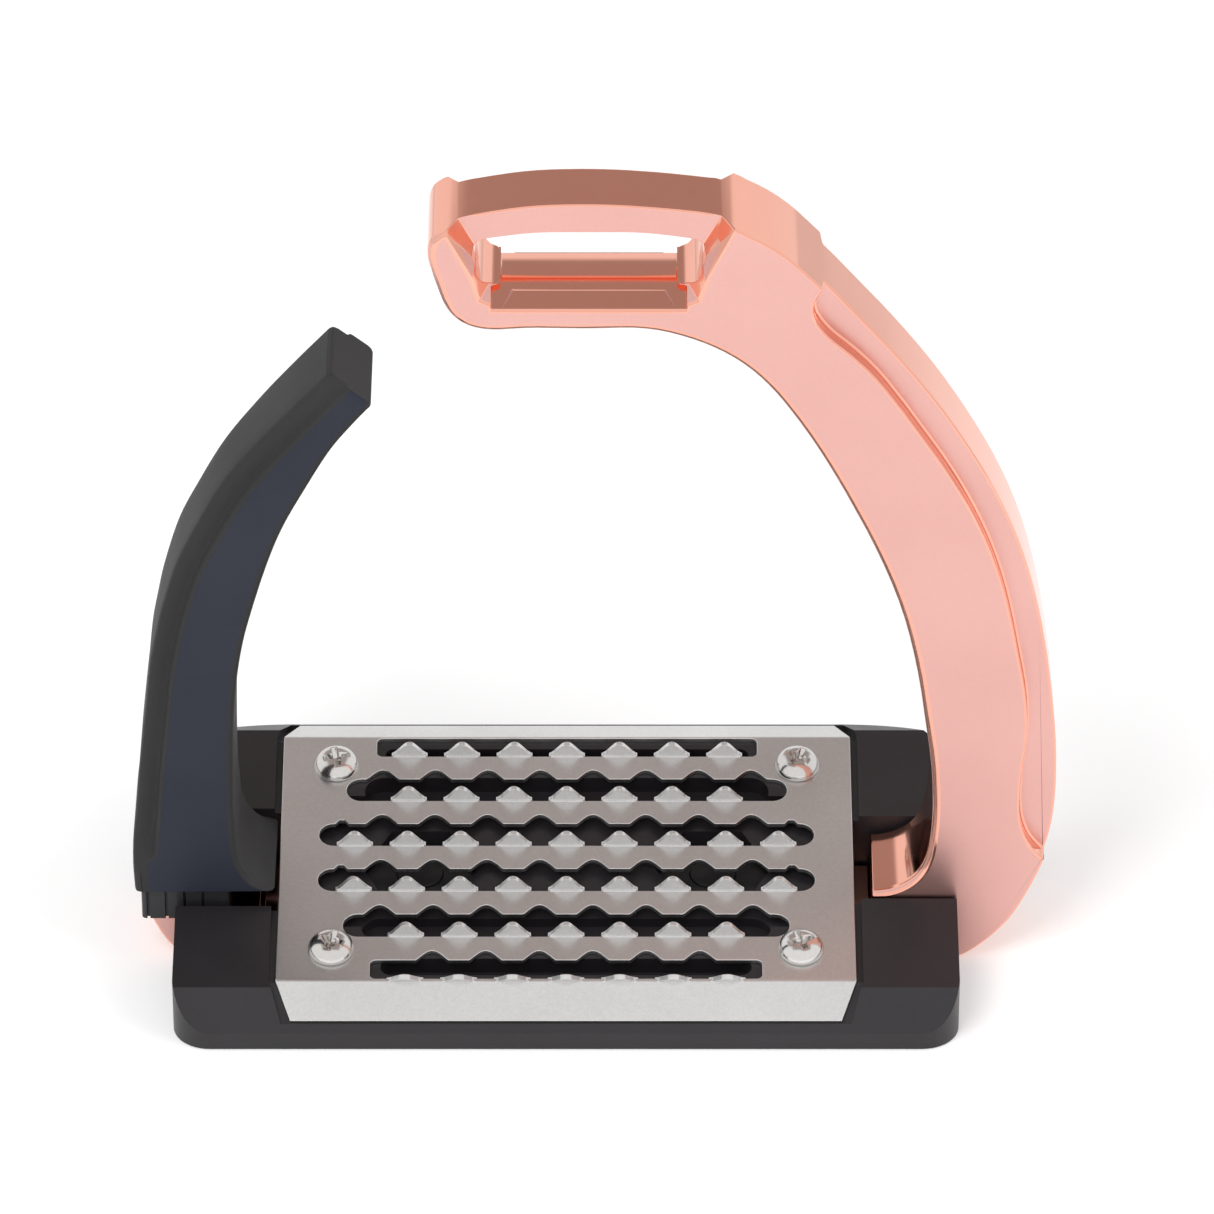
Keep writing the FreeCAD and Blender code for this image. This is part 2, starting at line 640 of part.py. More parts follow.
sk = sketch(upper, "upper_leaf_line", "XZ_Plane")
leaf_region(sk)
pocket(upper, "upper_leaf_slot", sk, "leaf_width", symmetric=True)

# The socket: a stiff moulded sleeve that fits over the stub, with a collar showing below the boot
socket = new_body("arm_socket")
sk = sketch(socket, "socket_plan", "XY_Plane", "seat_top")
box_lines(sk, "-stub_outer - socket_wall", "-stub_inner + socket_wall",
          "-stub_depth / 2 - socket_wall", "stub_depth / 2 + socket_wall")
pad(socket, "socket_block", sk, "socket_top - seat_top")
sk = sketch(socket, "collar_plan", "XY_Plane", "seat_top")
box_lines(sk, "-stub_outer - socket_wall - collar_lip", "-stub_inner + socket_wall", "-collar_depth / 2", "collar_depth / 2")
pad(socket, "collar_block", sk, "collar_height")
sk = sketch(socket, "socket_bore_line", "XY_Plane", "seat_top - 1")
box_lines(sk, "-stub_outer", "-stub_inner", "-stub_depth / 2", "stub_depth / 2")
pocket(socket, "socket_bore", sk, "stub_top - seat_top + 1", reverse=True)
sk = sketch(socket, "socket_leaf_line", "XY_Plane", "socket_top + 1")
box_lines(sk, LEAF_FACES[0], LEAF_FACES[1], "-leaf_width / 2",
          "leaf_width / 2")
pocket(socket, "socket_leaf_slot", sk, "socket_top + 1 - flex_height + leaf_root_length")
sk = sketch(socket, "collar_slit_lines", "XY_Plane", "seat_top - 1")
for k in range(4):
    x = "-stub_outer - socket_wall - collar_lip + 1.2 + %d * slit_pitch" % k
    for y0, y1 in (("-collar_depth / 2 - 1", "-collar_depth / 2 + slit_depth"),
                   ("collar_depth / 2 - slit_depth", "collar_depth / 2 + 1")):
        box_lines(sk, x + " - slit_width / 2", x + " + slit_width / 2", y0, y1)
pocket(socket, "collar_slits", sk, "collar_height + 2", reverse=True)
sk = sketch(socket, "socket_pin_line", "XZ_Plane")
circle(sk, "-(stub_outer + stub_inner) / 2", "pin_height", "pin_diameter")
pocket(socket, "socket_pin_hole", sk, "3 * stub_depth", symmetric=True)
sk = sketch(socket, "socket_rivet_line", "YZ_Plane")
rivet_z = "(socket_top + flex_height - leaf_root_length) / 2"
circle(sk, "-rivet_spacing / 2", rivet_z, "rivet_diameter")
circle(sk, "rivet_spacing / 2", rivet_z, "rivet_diameter")
pocket(socket, "socket_rivet_holes", sk, "3 * stub_outer", symmetric=True)
doc.recompute()
low_edges = []
for number, edge in enumerate(socket.Shape.Edges, start=1):
    box = edge.BoundBox
    upright = box.ZLength > size("collar_height") - 0.1
    if upright and abs(box.XMax - socket_x0 + size("collar_lip")) < 1e-3:
        if abs(box.YMin) > size("collar_depth") / 2 - 0.1:
            low_edges.append("Edge%d" % number)
sharp = socket.Tip
corner = socket.newObject("PartDesign::Fillet", "collar_corners")
corner.Base = (sharp, low_edges)
bind(corner, "Radius", "collar_radius")
doc.recompute()

# The cross pin that keeps the socket on the stub
pin = doc.addObject("Part::Cylinder", "arm_pin")
pin.Label = "arm_pin"
bind(pin, "Radius", "pin_diameter / 2")
bind(pin, "Height", "stub_depth + 2 * socket_wall")
pin.Placement = FreeCAD.Placement(V(0, 0, 0), FreeCAD.Rotation(V(1, 0, 0), 90))
bind(pin, "Placement.Base.x", "-(stub_outer + stub_inner) / 2")
bind(pin, "Placement.Base.y", "stub_depth / 2 + socket_wall")
bind(pin, "Placement.Base.z", "pin_height")

# The spring leaf in the arm: its root is riveted into the socket, its upper length is moulded in
root = new_body("leaf_root")
sk = sketch(root, "leaf_root_plan", "XY_Plane", "flex_height - leaf_root_length")
box_lines(sk, LEAF_FACES[0], LEAF_FACES[1], "-leaf_width / 2",
          "leaf_width / 2")
pad(root, "leaf_root_strip", sk, "leaf_root_length - flex_gap / 2")
sk = sketch(root, "leaf_root_rivets", "YZ_Plane")
circle(sk, "-rivet_spacing / 2", rivet_z, "rivet_diameter")
circle(sk, "rivet_spacing / 2", rivet_z, "rivet_diameter")
pocket(root, "leaf_root_holes", sk, "3 * stub_outer", symmetric=True)

leaf = new_body("leaf_upper")
sk = sketch(leaf, "leaf_upper_side", "XZ_Plane")
leaf_region(sk)
pad(leaf, "leaf_upper_strip", sk, "leaf_width", symmetric=True)


def group(label, members):
    """Identical pieces are kept together under one name, each as a solid of its own."""
    compound = doc.addObject("Part::Compound", label)
    compound.Label = label
    compound.Links = members
    return compound


rivets = []
for k, sign in enumerate(("-", "")):
    rivet = doc.addObject("Part::Cylinder", "rivet_%d" % (k + 1))
    bind(rivet, "Radius", "rivet_diameter / 2")
    bind(rivet, "Height", "stub_outer - stub_inner + 2 * socket_wall")
    rivet.Placement = FreeCAD.Placement(V(0, 0, 0), FreeCAD.Rotation(V(0, 1, 0), 90))
    bind(rivet, "Placement.Base.x", "-stub_outer - socket_wall")
    bind(rivet, "Placement.Base.y", sign + "rivet_spacing / 2")
    bind(rivet, "Placement.Base.z", rivet_z)
    rivets.append(rivet)
leaf_rivets = group("leaf_rivets", rivets)


# The footbed base: a moulded wedge with four ears that straddle the frame at each end
# Its plan is drawn first, then its side view is cut to the tread's slope and the two bevels.

tilt = math.radians(size("tread_tilt"))
tread_z = size("tread_height")
half_width = size("base_half_width")
front = -size("base_front")
rear = size("base_rear")
bend = size("bend_offset")
plate_half = size("plate_half_width")
plate_deep = size("plate_half_depth")
sheet_t = size("sheet")
flange = size("flange_length")
flange_tilt = math.radians(size("flange_angle"))
high = tread_z + rear


def on_tread(along, above=0.0):
    """Y and Z of a point at a distance along the sloping tread and above it."""
    return (along * math.cos(tilt) - above * math.sin(tilt),
            tread_z + along * math.sin(tilt) + above * math.cos(tilt))


base = new_body("footbed_base")
sk = sketch(base, "base_plan", "XY_Plane")
sweep_y = rear - 0.40 * rear
lines(sk, [(0.695 * half_width, rear), (-0.695 * half_width, rear)], close=False)
sk.addGeometry(Part.Arc(V(-0.695 * half_width, rear, 0), V(-0.895 * half_width, rear - 0.115 * rear, 0),
                        V(-half_width, sweep_y, 0)), False)
lines(sk, [(-half_width, sweep_y), (-half_width, front), (half_width, front), (half_width, sweep_y)],
      close=False)
sk.addGeometry(Part.Arc(V(half_width, sweep_y, 0), V(0.895 * half_width, rear - 0.115 * rear, 0),
                        V(0.695 * half_width, rear, 0)), False)
pad(base, "base_block", sk, "tread_height + base_rear")
sk = sketch(base, "base_side", "YZ_Plane")
lines(sk, [(front - 5, size("front_wall")), (front, size("front_wall")), on_tread(-bend), on_tread(bend),
           (rear, size("rear_wall")), (rear + 5, size("rear_wall")), (rear + 5, high + 5),
           (front - 5, high + 5)])
pocket(base, "base_slopes", sk, "3 * base_half_width", symmetric=True)

# Notches at both ends, and the channel under the base for the frame's bar
sk = sketch(base, "notch_lines", "XY_Plane", "-1")
box_lines(sk, "body_end", "base_half_width + 5", "-notch_right / 2", "notch_right / 2")
box_lines(sk, "-base_half_width - 5", "-body_end", "-notch_left / 2", "notch_left / 2")
pocket(base, "notches", sk, "tread_height + base_rear + 1", reverse=True)
sk = sketch(base, "channel_line", "YZ_Plane")
box_lines(sk, "-frame_depth / 2 - channel_gap", "frame_depth / 2 + channel_gap", "-1", "bar_top")
pocket(base, "bar_channel", sk, "3 * base_half_width", symmetric=True)

# Outer corners of the ears
doc.recompute()
corners = []
for number, edge in enumerate(base.Shape.Edges, start=1):
    box = edge.BoundBox
    if box.XLength < 1e-5 and box.YLength < 1e-5 and abs(box.YMin - front) < 1e-3:
        if abs(abs(box.XMin) - half_width) < 1e-3:
            corners.append("Edge%d" % number)
sharp = base.Tip
round_off = base.newObject("PartDesign::Fillet", "front_corners")
round_off.Base = (sharp, corners)
bind(round_off, "Radius", "base_corner")
doc.recompute()

# Seat for the bent tread plate, with a rim gap all round, tapering with the flanges
seat = new_body("seat_tool")
sk = sketch(seat, "seat_side", "YZ_Plane")
turn = math.tan(flange_tilt / 2) * sheet_t
run = flange - turn + 0.45
fb = on_tread(-plate_deep + turn, -sheet_t)
rb = on_tread(plate_deep - turn, -sheet_t)
fdir = (-math.cos(tilt + flange_tilt), -math.sin(tilt + flange_tilt))
rdir = (math.cos(flange_tilt - tilt), -math.sin(flange_tilt - tilt))
fe = (fb[0] + fdir[0] * run, fb[1] + fdir[1] * run)
re = (rb[0] + rdir[0] * run, rb[1] + rdir[1] * run)
lines(sk, [fe, fb, rb, re, (re[0] - rdir[1] * 9, re[1] + rdir[0] * 9), (0, high + 12),
           (fe[0] + fdir[1] * 9, fe[1] - fdir[0] * 9)])
pad(seat, "seat_block", sk, "2 * (plate_half_width + rim_gap)", symmetric=True)
sk = sketch(seat, "seat_ends", "XY_Plane", tilted=True)
edge_x = plate_half + size("rim_gap")
bend_y = plate_deep + 0.5
far_y = bend_y + flange
for sx in (1, -1):
    for sy in (1, -1):
        taper_x = edge_x - size("flange_cut") * (far_y + 12 - bend_y) / flange
        lines(sk, [(sx * edge_x, sy * bend_y), (sx * (edge_x + 6), sy * bend_y),
                   (sx * (edge_x + 6), sy * (far_y + 12)), (sx * taper_x, sy * (far_y + 12))])
pocket(seat, "seat_tapers", sk, "4 * base_rear", symmetric=True)
doc.recompute()
cut = base.newObject("PartDesign::Boolean", "plate_seat")
cut.Type = "Cut"
cut.Group = [seat]
doc.recompute()

# Under the plate: a sunk floor, deeper rounded pockets, hexagon wells and bosses for the screws
floor_x = size("screw_spacing_x") / 2
sk = sketch(base, "floor_lines", "XY_Plane", tilted=True)


def rounded_slot(sk, half_length, y0, y1):
    """A slot with round ends across the footbed, between two lines along it."""
    r = (y1 - y0) / 2
    mid = (y0 + y1) / 2
    lines(sk, [(half_length - r, y1), (-half_length + r, y1)], close=False)
    sk.addGeometry(Part.Arc(V(-half_length + r, y1, 0), V(-half_length, mid, 0),
                            V(-half_length + r, y0, 0)), False)
    lines(sk, [(-half_length + r, y0), (half_length - r, y0)], close=False)
    sk.addGeometry(Part.Arc(V(half_length - r, y0, 0), V(half_length, mid, 0),
                            V(half_length - r, y1, 0)), False)


row_pitch = size("row_pitch")
reach = size("slot_reach")
top_row = 2.5 * row_pitch - reach / 2
box_lines(sk, "-plate_half_width + 3", "plate_half_width - 3", "-1.45 * row_pitch", "1.45 * row_pitch")
pocket(base, "sunk_floor", sk, "sheet + floor_depth")
sk = sketch(base, "floor_pocket_lines", "XY_Plane", tilted=True)
for half_length, row in ((32.2, 0), (35.7, 1), (35.7, 4), (32.2, 5)):
    y0 = top_row - row * row_pitch
    y1 = y0 + reach + 1.2
    low = -plate_deep + 2.0
    rounded_slot(sk, half_length, max(y0 - 0.3, low), min(y1, plate_deep - 2.0))
pocket(base, "floor_pockets", sk, "sheet + floor_depth + 2.2")

sk = sketch(base, "well_lines", "XY_Plane", "tread_height + base_rear")
for sx in (1, -1):
    lines(sk, hexagon(sx * size("bolt_spacing") / 2, 0, size("nut_flats") + 2 * size("nut_gap")))
pocket(base, "nut_wells", sk, "tread_height + base_rear - nut_seat")
sk = sketch(base, "bolt_way_lines", "XY_Plane", "nut_seat + 1")
circle(sk, "bolt_spacing / 2", "0", "bolt_diameter + 2 * bolt_clearance")
circle(sk, "-bolt_spacing / 2", "0", "bolt_diameter + 2 * bolt_clearance")
pocket(base, "bolt_ways", sk, "nut_seat + 1")
sk = sketch(base, "insert_lines", "XY_Plane", tilted=True)
for sx in ("", "-"):
    for sy in ("", "-"):
        circle(sk, sx + "screw_spacing_x / 2", sy + "screw_spacing_y / 2", "insert_diameter")
pocket(base, "insert_holes", sk, "sheet + insert_length")
sk = sketch(base, "screw_tip_lines", "XY_Plane", tilted=True)
for sx in ("", "-"):
    for sy in ("", "-"):
        circle(sk, sx + "screw_spacing_x / 2", sy + "screw_spacing_y / 2",
               "screw_diameter + 2 * screw_hole_gap")
pocket(base, "screw_tip_holes", sk, "screw_length + 0.4")

# The underside is cored out between ribs, front and rear of the bar
sk = sketch(base, "core_lines", "XY_Plane", "-1")
wall_t = size("core_wall")
rib = size("rib_thickness")
bar_wall = frame_depth / 2 + size("channel_gap") + wall_t
cells = 6
core_w = size("body_end") - wall_t
step = 2 * core_w / cells
for k in range(cells):
    x0 = -core_w + k * step + rib / 2
    x1 = x0 + step - rib
    y0 = bar_wall
    y1 = rear - 2 * wall_t
    lines(sk, [(x0, y0), (x1, y0), (x1, y1), (x0, y1)])
pocket(base, "rear_cores", sk, "1 + tread_height - 2 * core_roof - 1.2", reverse=True)
sk = sketch(base, "front_core_lines", "XY_Plane", "-1")
for k in range(cells):
    x0 = -core_w + k * step + rib / 2
    x1 = x0 + step - rib
    lines(sk, [(x0, front + 2 * wall_t), (x1, front + 2 * wall_t), (x1, -bar_wall), (x0, -bar_wall)])
pocket(base, "front_cores", sk, "1 + core_roof", reverse=True)
doc.recompute()


# The tread plate: bent sheet with wavy slots and rows of teeth that stand square to it
# It is drawn flat, with its top at Z 0, and then leaned to the tread's slope.

plate = new_body("tread_plate")
plate.Placement = FreeCAD.Placement(V(0, 0, 1), FreeCAD.Rotation(V(1, 0, 0), 5))
bind(plate, "Placement.Base.z", "tread_height")
bind(plate, "Placement.Rotation.Angle", "tread_tilt")
sk = sketch(plate, "plate_side", "YZ_Plane")
cb = math.cos(flange_tilt)
sb = math.sin(flange_tilt)
end_y = plate_deep + flange * cb
end_z = -flange * sb
lines(sk, [(-end_y, end_z), (-plate_deep, 0), (plate_deep, 0), (end_y, end_z),
           (end_y - sheet_t * sb, end_z - sheet_t * cb), (plate_deep - turn, -sheet_t),
           (-plate_deep + turn, -sheet_t), (-end_y + sheet_t * sb, end_z - sheet_t * cb)])
pad(plate, "plate_sheet", sk, "2 * plate_half_width", symmetric=True)
doc.recompute()
bends = []
for number, edge in enumerate(plate.Shape.Edges, start=1):
    point = edge.Vertexes[0].Point
    side = math.copysign(1, point.y)
    bend_at = V(point.x, side * plate_deep * math.cos(tilt), tread_z + side * plate_deep * math.sin(tilt))
    if edge.BoundBox.XLength > 2 * plate_half - 1 and point.distanceToPoint(bend_at) < 0.05:
        bends.append("Edge%d" % number)
sharp = plate.Tip
bend_round = plate.newObject("PartDesign::Fillet", "plate_bends")
bend_round.Base = (sharp, bends)
bind(bend_round, "Radius", "sheet * 1.3")
doc.recompute()

# The flanges' ends are cut back to follow the base
sk = sketch(plate, "flange_ends", "XY_Plane", "5")
for sx in (1, -1):
    for sy in (1, -1):
        lines(sk, [(sx * plate_half, sy * (plate_deep + 0.3)),
                   (sx * (plate_half + 5), sy * (plate_deep + 0.3)),
                   (sx * (plate_half + 5), sy * (end_y + 3)),
                   (sx * (plate_half - size("flange_cut") * (end_y + 3 - plate_deep) / flange),
                    sy * (end_y + 3))])
pocket(plate, "flange_cuts", sk, "20")

hump = size("hump_reach")
tooth_pitch = size("tooth_pitch")
# each row: half length of its slot, number of teeth, number of humps in its far edge
ROWS = [(33.7, 7, 0), (38.9, 7, 8), (43.5, 9, 8), (43.5, 9, 8), (38.9, 7, 8), (34.0, 7, 6)]


def row_edges(row):
    """Near and far edge of a slot, measured along the plate."""
    near = max(top_row - row * row_pitch, -plate_deep + 0.4)
    far = min(top_row - row * row_pitch + reach, plate_deep - 0.35)
    return near, far


for row, (half_length, teeth, humps) in enumerate(ROWS):
    near, far = row_edges(row)
    sk = sketch(plate, "slot_line_%d" % (row + 1), "XY_Plane", "1")
    run = []
    tab = 0.16 * tooth_pitch
    slope = 0.2 * tooth_pitch
    for k in range(humps):
        x = (k - (humps - 1) / 2) * tooth_pitch
        run += [(x - tooth_pitch / 2 + tab, far), (x - tooth_pitch / 2 + tab + slope, far + hump),
                (x + tooth_pitch / 2 - tab - slope, far + hump), (x + tooth_pitch / 2 - tab, far)]
    if row in (2, 3):
        x = 4.25 * tooth_pitch
        small = [(x - 1.2, far), (x - 0.5, far + 0.9), (x + 0.5, far + 0.9), (x + 1.2, far)]
        run = [(-a, b) for a, b in reversed(small)] + run + small
    r = 1.0 if row in (0, 5) else (far - near) / 2
    k = r * (1 - math.sqrt(0.5))
    ends = [V(-half_length, near + r, 0), V(-half_length + k, near + k, 0), V(-half_length + r, near, 0)]
    sk.addGeometry(Part.Arc(*ends), False)
    lines(sk, [(-half_length + r, near), (half_length - r, near)], close=False)
    sk.addGeometry(Part.Arc(V(half_length - r, near, 0), V(half_length - k, near + k, 0),
                            V(half_length, near + r, 0)), False)
    if far - near > 2 * r + 1e-6:
        lines(sk, [(half_length, near + r), (half_length, far - r)], close=False)
        lines(sk, [(-half_length, near + r), (-half_length, far - r)], close=False)
    sk.addGeometry(Part.Arc(V(half_length, far - r, 0), V(half_length - k, far - k, 0),
                            V(half_length - r, far, 0)), False)
    sk.addGeometry(Part.Arc(V(-half_length, far - r, 0), V(-half_length + k, far - k, 0),
                            V(-half_length + r, far, 0)), False)
    lines(sk, [(-half_length + r, far)] + run + [(half_length - r, far)], close=False)
    pocket(plate, "slot_%d" % (row + 1), sk, "sheet + 3")

# Every tooth is a blunt-topped triangle, bent up from the slot's near edge
# The row at the front bend stands square to the flange instead of the top.
width = size("tooth_width")
tall = size("tooth_height")
for row, (half_length, teeth, humps) in enumerate(ROWS):
    near, far = row_edges(row)
    sk = sketch(plate, "tooth_line_%d" % (row + 1), "XZ_Plane")
    lean = size("flange_angle") if row == 5 else 0.0
    sk.AttachmentOffset = FreeCAD.Placement(V(0, 0, -near), FreeCAD.Rotation(V(1, 0, 0), lean))
    x = -(teeth - 1) / 2 * tooth_pitch
    root_z = -0.6 * sheet_t
    lines(sk, [(x - 0.5 * width, root_z), (x + 0.5 * width, root_z), (x + 0.5 * width, 0.0),
               (x + 0.19 * width, 0.76 * tall), (x + 0.08 * width, tall), (x - 0.08 * width, tall),
               (x - 0.19 * width, 0.76 * tall), (x - 0.5 * width, 0.0)])
    first = pad(plate, "tooth_%d" % (row + 1), sk, "tooth_thickness")
    doc.recompute()
    pattern = plate.newObject("PartDesign::LinearPattern", "teeth_%d" % (row + 1))
    pattern.Originals = [first]
    pattern.Direction = (plane(plate, "X_Axis"), [""])
    pattern.Length = (teeth - 1) * tooth_pitch
    bind(pattern, "Length", "%d * tooth_pitch" % (teeth - 1))
    pattern.Occurrences = teeth
    plate.Tip = pattern
    doc.recompute()

sk = sketch(plate, "screw_hole_lines", "XY_Plane", "1")
for sx in ("", "-"):
    for sy in ("", "-"):
        circle(sk, sx + "screw_spacing_x / 2", sy + "screw_spacing_y / 2",
               "screw_diameter + 2 * screw_hole_gap")
pocket(plate, "screw_holes", sk, "sheet + 2")


def on_slope(body, sx, sy):
    """Stands a body square to the tread at one of the four screw places."""
    body.Placement = FreeCAD.Placement(V(0, 0, 1), FreeCAD.Rotation(V(1, 0, 0), 5))
    bind(body, "Placement.Base.x", sx + "screw_spacing_x / 2")
    bind(body, "Placement.Base.y", sy + "screw_spacing_y / 2 * cos(tread_tilt * 1 deg)")
    bind(body, "Placement.Base.z", "tread_height " + (sy or "+") +
         " screw_spacing_y / 2 * sin(tread_tilt * 1 deg)")
    bind(body, "Placement.Rotation.Angle", "tread_tilt")


# Pan-head screws with cross recesses, and the brass inserts that they turn into
screws = []
inserts = []
head_r = size("screw_head_diameter") / 2
head_h = size("screw_head_height")
shank_r = size("screw_diameter") / 2
shank_l = size("screw_length")
PLACES = (("-", "", 12), ("", "", 58), ("-", "-", 70), ("", "-", 20))
for number, (sx, sy, spin) in enumerate(PLACES, start=1):
    screw = new_body("tread_screw_%d" % number)
    sk = sketch(screw, "screw_half_%d" % number, "XZ_Plane")
    lines(sk, [(0, -shank_l), (shank_r, -shank_l), (shank_r, 0), (head_r, 0), (head_r, 0.4 * head_h),
               (0.64 * head_r, head_h), (0, head_h)])
    revolve(screw, "screw_round_%d" % number, sk, "Z_Axis")
    sk = sketch(screw, "recess_line_%d" % number, "XY_Plane", "screw_head_height")
    arm_l = 0.56 * head_r
    arm_w = 0.14 * head_r
    cross = []
    for quarter in range(4):
        a = math.radians(spin + 90 * quarter)
        for u, w in ((arm_l, -arm_w), (arm_l, arm_w), (arm_w * 1.25, arm_w * 1.25)):
            cross.append((u * math.cos(a) - w * math.sin(a), u * math.sin(a) + w * math.cos(a)))
    lines(sk, cross)
    pocket(screw, "recess_%d" % number, sk, "0.62 * screw_head_height")
    on_slope(screw, sx, sy)
    screws.append(screw)

    insert = new_body("screw_insert_%d" % number)
    sk = sketch(insert, "insert_plan_%d" % number, "XY_Plane", "-sheet")
    circle(sk, "0", "0", "insert_diameter")
    circle(sk, "0", "0", "screw_diameter")
    pad(insert, "insert_tube_%d" % number, sk, "insert_length", reverse=True)
    on_slope(insert, sx, sy)
    inserts.append(insert)
tread_screws = group("tread_screws", screws)
screw_inserts = group("screw_inserts", inserts)

# Countersunk bolts up through the bar, and wide low nuts sunk in the base's hexagon wells
bolts = []
nuts = []
bolt_r = size("bolt_diameter") / 2
bolt_head = size("bolt_head_diameter") / 2
bolt_top = size("nut_seat") + size("nut_height") + 0.3 - bar_bottom
for number, sx in enumerate(("-", ""), start=1):
    bolt = new_body("frame_bolt_%d" % number)
    sk = sketch(bolt, "bolt_half_%d" % number, "XZ_Plane")
    lines(sk, [(0, 0), (bolt_head, 0), (bolt_head, 0.3), (bolt_r, size("bolt_head_height")),
               (bolt_r, bolt_top), (0, bolt_top)])
    revolve(bolt, "bolt_round_%d" % number, sk, "Z_Axis")
    sk = sketch(bolt, "bolt_key_line_%d" % number, "XY_Plane", "-1")
    lines(sk, hexagon(0, 0, size("bolt_key")))
    pocket(bolt, "bolt_key_%d" % number, sk, "1 + 0.75 * bolt_head_height", reverse=True)
    bind(bolt, "Placement.Base.x", sx + "bolt_spacing / 2")
    bind(bolt, "Placement.Base.z", "bar_bottom")
    bolts.append(bolt)

    nut = new_body("frame_nut_%d" % number)
    sk = sketch(nut, "nut_plan_%d" % number, "XY_Plane")
    lines(sk, hexagon(0, 0, size("nut_flats")))
    circle(sk, "0", "0", "bolt_diameter")
    pad(nut, "nut_block_%d" % number, sk, "nut_height")
    bind(nut, "Placement.Base.x", sx + "bolt_spacing / 2")
    bind(nut, "Placement.Base.z", "nut_seat")
    nuts.append(nut)
frame_bolts = group("frame_bolts", bolts)
frame_nuts = group("frame_nuts", nuts)

# Every object is checked, then every piece is written under its own name
doc.recompute()
for item in doc.Objects:
    if "Invalid" in item.State or "Error" in item.State:
        raise RuntimeError("%s is %s" % (item.Label, item.State))
PIECES = [frame, boot, upper, socket, pin, root, leaf, leaf_rivets, base, plate, tread_screws,
          screw_inserts, frame_bolts, frame_nuts]
os.makedirs("parts", exist_ok=True)
for piece in PIECES:
    shape = piece.Shape
    if shape.isNull() or not shape.isValid():
        raise RuntimeError(piece.Label + " has no valid shape")
    print(piece.Label, len(shape.Solids), round(shape.Volume, 1))
    shape.exportStep("parts/%s.step" % piece.Label)
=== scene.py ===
# %% [markdown]
# # A safety stirrup iron
# A rider's foot rests on the toothed tread. The rose-gold side branch and eye are one stiff casting,
# and the dark arm on the open side bends away if the rider falls, which lets the foot go.
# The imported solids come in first. Everything below is in metres and in their frame, so each piece
# goes where the solids say and nothing has to be fitted by eye.

# %% Load the solids
import bmesh
import bpy
import math
from mathutils import Matrix, Vector


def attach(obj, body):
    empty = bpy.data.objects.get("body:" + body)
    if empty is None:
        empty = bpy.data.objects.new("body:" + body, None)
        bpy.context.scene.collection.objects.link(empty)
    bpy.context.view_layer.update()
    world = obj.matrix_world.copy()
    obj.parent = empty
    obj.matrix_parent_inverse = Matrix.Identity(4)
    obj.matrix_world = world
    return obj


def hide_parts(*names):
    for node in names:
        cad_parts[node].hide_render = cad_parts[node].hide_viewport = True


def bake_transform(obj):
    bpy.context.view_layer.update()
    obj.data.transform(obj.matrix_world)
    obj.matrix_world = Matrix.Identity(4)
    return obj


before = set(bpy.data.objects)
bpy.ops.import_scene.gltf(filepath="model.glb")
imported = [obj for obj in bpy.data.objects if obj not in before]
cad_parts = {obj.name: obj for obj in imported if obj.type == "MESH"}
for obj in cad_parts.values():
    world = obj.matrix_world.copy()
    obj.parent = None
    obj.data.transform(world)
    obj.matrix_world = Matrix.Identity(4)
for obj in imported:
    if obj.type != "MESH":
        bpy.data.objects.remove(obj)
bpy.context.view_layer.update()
scene = bpy.context.scene
MM = 0.001

# %% [markdown]
# ## Helpers for meshes
# A solid arrives as loose flat triangles. A merged copy of it can be shaded smooth and can take a
# Bevel modifier, which gives real metal and plastic the small bright rounding along each edge.
# Flat groups of triangles are dissolved first, so that the bevel follows true edges only.


# %% A merged, clean copy of a solid
def merged_copy(node, name, flat_angle=1.0, smooth_angle=32.0, weld=0.002):
    """A new object with the node's shape, its doubles merged and its flat faces made whole."""
    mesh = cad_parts[node].data.copy()
    mesh.name = name
    mesh.materials.clear()
    bm = bmesh.new()
    bm.from_mesh(mesh)
    bmesh.ops.remove_doubles(bm, verts=bm.verts, dist=weld * MM)
    bmesh.ops.dissolve_degenerate(bm, edges=bm.edges, dist=1e-6)
    bmesh.ops.dissolve_limit(bm, angle_limit=math.radians(flat_angle), verts=bm.verts, edges=bm.edges)
    bm.to_mesh(mesh)
    bm.free()
    mesh.shade_smooth()
    mesh.set_sharp_from_angle(angle=math.radians(smooth_angle))
    piece = bpy.data.objects.new(name, mesh)
    scene.collection.objects.link(piece)
    return piece


def applied(piece):
    """The piece with its modifiers worked into its mesh."""
    bpy.context.view_layer.update()
    graph = bpy.context.evaluated_depsgraph_get()
    mesh = bpy.data.meshes.new_from_object(piece.evaluated_get(graph), preserve_all_data_layers=True,
                                           depsgraph=graph)
    piece.modifiers.clear()
    piece.data = mesh
    return piece


def weigh_edges(piece, angle, share_at):
    """Gives each sharp edge its share of the rounding, from a function of its middle point."""
    mesh = bmesh.new()
    mesh.from_mesh(piece.data)
    share = mesh.edges.layers.float.new("bevel_weight_edge")
    for edge in mesh.edges:
        if len(edge.link_faces) == 2 and edge.calc_face_angle() > math.radians(angle):
            edge[share] = share_at((edge.verts[0].co + edge.verts[1].co) / 2)
    mesh.to_mesh(piece.data)
    mesh.free()


def rounded_edges(piece, width, steps=3, angle=30.0, finish=-1, harden=True, clamp=True, weighed=False):
    """Rounds the sharp edges; finish is the material slot of the roundings, or -1."""
    bevel = piece.modifiers.new("rounded_edges", "BEVEL")
    bevel.width = width
    bevel.segments = steps
    bevel.limit_method = "WEIGHT" if weighed else "ANGLE"
    bevel.angle_limit = math.radians(angle)
    bevel.harden_normals = harden
    bevel.use_clamp_overlap = clamp
    bevel.miter_outer = "MITER_ARC"
    bevel.material = finish
    return applied(piece)


